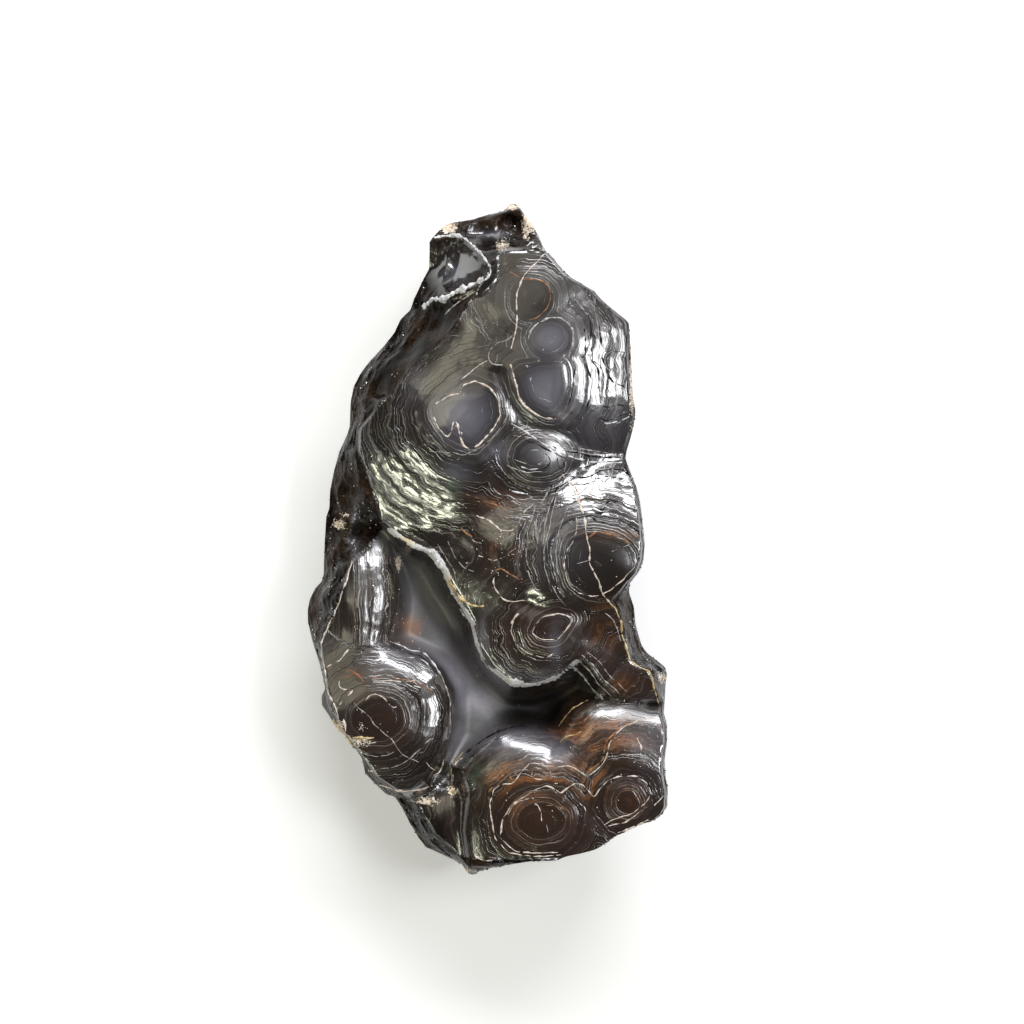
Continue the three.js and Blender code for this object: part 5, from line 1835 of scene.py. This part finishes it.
        (-24, -32), (-23.2, -31), (-22, -30.6), (-20.8, -31), (-20, -31.8), (-19.2, -32.8),
        (-18.4, -33.6), (-18, -33.2),
    )),
    Seam(0.15, S, (
        (-26.4, -32.4), (-25.4, -33.4), (-24, -34.6), (-23, -35.6), (-22.2, -36.8), (-20.6, -38.2),
        (-18.6, -39.8), (-18, -40.8), (-16.8, -42.6), (-15, -43.6), (-13.6, -44.2),
    )),
    Seam(0.30, C, (
        (-30, -33.8), (-29.4, -33), (-28.6, -31.8), (-27.6, -31), (-26.6, -30.2), (-26.4, -29.6),
        (-27.2, -29.6), (-28.4, -29.8), (-29.2, -29.4), (-29.5, -28.6), (-29.2, -27.9),
    )),
    Seam(0.60, R, ((-29.4, -25.8), (-27, -26), (-25.4, -27), (-24.4, -28.2))),
    Seam(0.20, S, (
        (-22.6, -46.1), (-21.4, -45.6), (-19, -45.4), (-16.6, -44.6), (-15, -43.4), (-13.4, -41.8),
        (-12.2, -40.4), (-11.2, -39.6), (-10.6, -37.6), (-10.2, -35), (-10.2, -33),
    )),
    Seam(0.34, C, ((-23.6, -46.5), (-22.6, -46.1))),
    Seam(0.15, S, ((-24.4, -42.6), (-22, -43.2), (-19.6, -42.8), (-18.4, -42.2))),
    Seam(0.20, C, ((-12, -44.2), (-11.2, -45.4), (-10.2, -46))),
    Seam(0.24, C, ((-10.6, -47), (-9.4, -46.4), (-8.8, -45.2), (-8.6, -43.8))),
    Seam(0.70, G, (
        (-30.6, -35.8), (-29.4, -37.4), (-28.4, -38.4), (-27.4, -39.6), (-27, -41), (-26.6, -41.6),
    )),
    Seam(0.34, C, ((-28.4, -35.6), (-28, -37.2), (-28.2, -38.6))),
    Seam(0.45, G, ((-27.2, -39.4), (-25.8, -39.2), (-24.8, -39.2), (-23.6, -39.5), (-22.4, -39.3))),
    Seam(0.32, C, ((-24.8, -39), (-24.6, -40.2), (-23.2, -40.4), (-22, -40.2))),
    Seam(0.28, C, ((-25.2, -39.4), (-25, -41))),
    Seam(0.34, C, (
        (-21.4, -49.4), (-19.6, -49.6), (-18.2, -50), (-16, -50.2), (-13, -49.8), (-11.4, -49.4),
    )),
    Seam(0.90, G, ((-7.4, -50.2), (-6.4, -50.6))),
    Seam(0.45, C, ((-6.6, -47), (-6.7, -48.4))),
    Seam(0.28, C, ((-6.3, -45), (-5.6, -44), (-4.8, -43.6))),
    Seam(0.26, C, ((-32, -25.4), (-30.8, -24.8), (-29.4, -24), (-28.2, -22.8), (-27, -21.4))),
    Seam(0.34, C, (
        (-26.9, -4.4), (-27.7, -7.6), (-28.7, -10), (-29.3, -12.4), (-30.3, -14.6), (-31.3, -16.4),
        (-32.3, -19), (-32.9, -20.6), (-32.9, -23), (-32.3, -25), (-31.9, -27), (-31.9, -29.4),
        (-30.7, -32), (-29.9, -33.6), (-28.8, -38),
    )),
    # lower right domes
    Seam(0.22, C, (
        (8.6, -44.4), (9.9, -44.4), (11.6, -45), (14.3, -45), (17, -45), (18.6, -46),
        (20.2, -47.1), (21.9, -45.8), (23.5, -44.1), (24, -42.5), (24.3, -40.9), (25.7, -38.4),
        (27.8, -36.8), (31.1, -35.5), (33.3, -35.2),
    )),
    Seam(0.20, C, (
        (8.6, -44.4), (7.2, -45.8), (6.1, -47.4), (5, -48.5), (2.9, -48.5), (1.5, -49.8), (0.7, -52.3),
        (1, -55.6), (1.8, -59.4), (4, -62.1), (7.2, -62.9), (11.6, -62.9), (14.8, -62.6),
    )),
    Seam(0.22, C, (
        (2.9, -58.3), (3.1, -55.6), (5, -52.8), (7.8, -50.9), (9.9, -49.6), (11.8, -48.8), (13.5, -49.3),
        (14.8, -50.4), (16.2, -49.3), (17.8, -48.2), (19.4, -48.8), (21.3, -51.2), (22.4, -49.6),
        (24, -47.7), (26.8, -46.9), (30, -46.9), (32.2, -48.5), (32.7, -50.1), (31.6, -52.3),
        (28.9, -54.5), (25.1, -55.6), (23.5, -56.6),
    )),
    Seam(0.24, C, ((9.6, -52.4), (10.2, -52.6), (10.8, -54), (11.1, -55.8))),
    Seam(0.16, C, ((12, -56.4), (12.4, -59.4))),
    Seam(0.22, C, ((4.2, -54.6), (5.2, -53), (6.6, -52), (8.4, -51.4))),
    Seam(0.20, R, ((10.6, -53.2), (12.6, -52.8), (14.6, -53), (16.4, -54), (17.4, -55.4))),
    Seam(0.20, C, (
        (3.2, -55.4), (3.4, -56), (2.8, -57.2), (2.8, -59), (4, -60.6), (6, -62.2), (9.4, -62.3),
        (14.2, -62.1),
    )),
    Seam(0.22, C, ((9.2, -46), (9.2, -47.2), (10.2, -47.8), (11.8, -47.6))),
    Seam(0.22, C, ((24.4, -56.8), (27.4, -56.2), (29.6, -54.8), (32, -52.9))),
    Seam(0.40, R, (
        (19.9, -46.6), (21, -45.4), (22.8, -44.2), (23.4, -43.4), (23.3, -41.8), (23.8, -40.2),
        (25.1, -38.6), (26.9, -37.2), (29.3, -36),
    )),
    Seam(0.36, R, ((2.2, -47.8), (3.2, -47), (4.4, -46.4), (4.8, -45.4))),
    Seam(0.30, R, ((4.4, -46.4), (5.2, -47.8), (5.8, -48))),
    Seam(0.30, R, ((0.4, -50.4), (1, -49.4), (2.4, -48.6))),
    Seam(0.20, S, ((6.4, -44), (7.8, -43.2), (9, -41.9))),
    Seam(0.32, G, ((14.6, -40.2), (16, -39), (18, -38.6), (19.2, -38))),
    Seam(0.34, R, ((18.6, -36.4), (20, -35.4), (21.6, -34.8))),
    Seam(0.40, D, ((-4, -42.6), (-1, -40.3), (1.4, -38.7), (3.6, -37.8), (5.4, -37.4), (8.2, -37.4))),
    Seam(0.26, C, ((-1.7, -61.2), (-2.6, -62.1), (-2.3, -63.1), (-0.4, -64), (1.5, -63.7))),
    Seam(0.30, C, ((26.2, -58.3), (29.5, -56.9), (32.2, -55.6))),
    Seam(0.26, C, ((33.5, -52.8), (35.2, -50.9))),
    Seam(0.30, C, ((30, -39.3), (30.8, -40.9), (30.6, -42.8))),
    Seam(0.30, G, ((14.5, -37.1), (17, -33.8), (20.2, -31.9))),
    Seam(0.30, G, ((-6.9, -49), (-7, -46), (-6.6, -44.7), (-4.7, -42.5))),
)


@dataclass(frozen=True)
class Panel:
    """A soft light panel: where it stands, its size, brightness, colour and turn, aimed at the stone."""

    name: str
    toward: float
    off_vertical: float
    distance: float
    width: float
    height: float
    glow: float
    colour: Colour = (1.0, 1.0, 1.0)
    spin: float = 0.0

    def build(self) -> bpy.types.Object:
        """Makes the light. toward is its compass angle from +X, off_vertical its tilt, in degrees."""
        light = bpy.data.lights.new(self.name, "AREA")
        light.shape = "RECTANGLE"
        light.size, light.size_y = self.width, self.height
        light.energy = self.glow * math.pi * self.width * self.height
        light.color = self.colour
        obj = bpy.data.objects.new(self.name, light)
        tilt, turn = math.radians(self.off_vertical), math.radians(self.toward)
        way = Vector((math.sin(tilt) * math.cos(turn), math.sin(tilt) * math.sin(turn), math.cos(tilt)))
        obj.location = way * self.distance
        obj.rotation_euler = way.to_track_quat("Z", "Y").to_euler()
        obj.rotation_euler.rotate_axis("Z", math.radians(self.spin))
        bpy.context.scene.collection.objects.link(obj)
        return obj


@dataclass(frozen=True)
class Studio:
    """Pale table, soft panels and a camera that looks straight down."""

    panels: tuple[Panel, ...]
    world_glow: float = 0.03
    table_half: float = 4.0
    table_drop: float = 0.00005
    camera_x: float = 0.0050
    camera_y: float = 0.0056
    camera_height: float = 1.225
    frame_width: float = 0.2048
    sensor: float = 36.0
    focus_height: float = 0.025
    clip: Point = (0.05, 20.0)

    def build(self) -> None:
        """Makes the table, the world, the panels and the camera."""
        half = self.table_half
        corners = ((-half, -half), (half, -half), (half, half), (-half, half))
        mesh = bpy.data.meshes.new("table")
        mesh.from_pydata([(x, y, -self.table_drop) for x, y in corners], [], [(0, 1, 2, 3)])
        mesh_object("table", mesh, PaperFinish().material())
        world = bpy.data.worlds.new("room")
        world.use_nodes = True
        sky = world.node_tree.nodes["Background"].inputs
        sky["Color"].default_value = (1, 1, 1, 1)
        sky["Strength"].default_value = self.world_glow
        scene = bpy.context.scene
        scene.world = world
        for panel in self.panels:
            panel.build()
        lens = bpy.data.cameras.new("camera")
        lens.sensor_width = self.sensor
        lens.lens = self.sensor * (self.camera_height - self.focus_height) / self.frame_width
        lens.clip_start, lens.clip_end = self.clip
        camera = bpy.data.objects.new("camera", lens)
        camera.location = (self.camera_x, self.camera_y, self.camera_height)
        scene.collection.objects.link(camera)
        scene.camera = camera
        scene.view_settings.view_transform = "Standard"


PANELS = (
    Panel("sky_panel", 95, 30, 1.6, 2.1, 1.20, 0.048, (1.0, 0.90, 0.75)),
    Panel("sheen_panel", 118, 28, 1.5, 1.4, 0.90, 0.085, (1.0, 0.90, 0.75)),
    Panel("sheen_core", 130, 26, 1.45, 1.0, 0.72, 0.19, (1.0, 0.93, 0.78)),
    Panel("olive_panel", 150, 27, 1.5, 0.5, 0.4, 0.75, (1.0, 0.95, 0.70)),
    Panel("main_softbox", 78, 51, 1.3, 1.10, 0.42, 11.0, (0.965, 0.97, 1.0)),
    Panel("east_softbox", 8, 33, 1.3, 0.50, 0.42, 9.0, (0.97, 0.98, 1.0)),
    Panel("window_left", 222, 56, 1.3, 1.0, 0.20, 8.0, (0.97, 1, 0.76), 19),
)


def attach(pieces: Iterable[bpy.types.Object]) -> None:
    """Rides each piece on the stone's body and logs its face count."""
    for piece in pieces:
        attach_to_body(piece, "root")
        log.info("%s: %d faces", piece.name, len(piece.data.polygons))


def main() -> None:
    """Builds the stone, its seams and grains, and the studio, in that order."""
    logging.basicConfig(level=logging.INFO, format="%(message)s")
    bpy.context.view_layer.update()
    shape = StoneShape()
    stone = Stone(shape).build()
    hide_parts("hematite")
    seams = [
        SeamNet(shape, tint, tuple(seam for seam in SEAMS if seam.tint is tint)).build()
        for tint in (C, W, S, G, R, D)
    ]
    grains = [
        GrainScatter("crust_grains", Tint.CRUST, "crust", 5.0e7, size=0.16, seed=SEED, low=0.35),
        GrainScatter(
            "break_crystals", Tint.CRYSTAL, "grit", 4.5e6, size=0.24, seed=SEED + 1, low=0.92, above=8.0
        ),
        GrainScatter("cream_flecks", Tint.FLECK, "fleck", 1.6e6, size=0.14, seed=SEED + 2, low=0.58),
    ]
    attach([stone, *seams, *(grain.build(stone) for grain in grains)])
    Studio(PANELS).build()


if __name__ == "__main__":
    main()
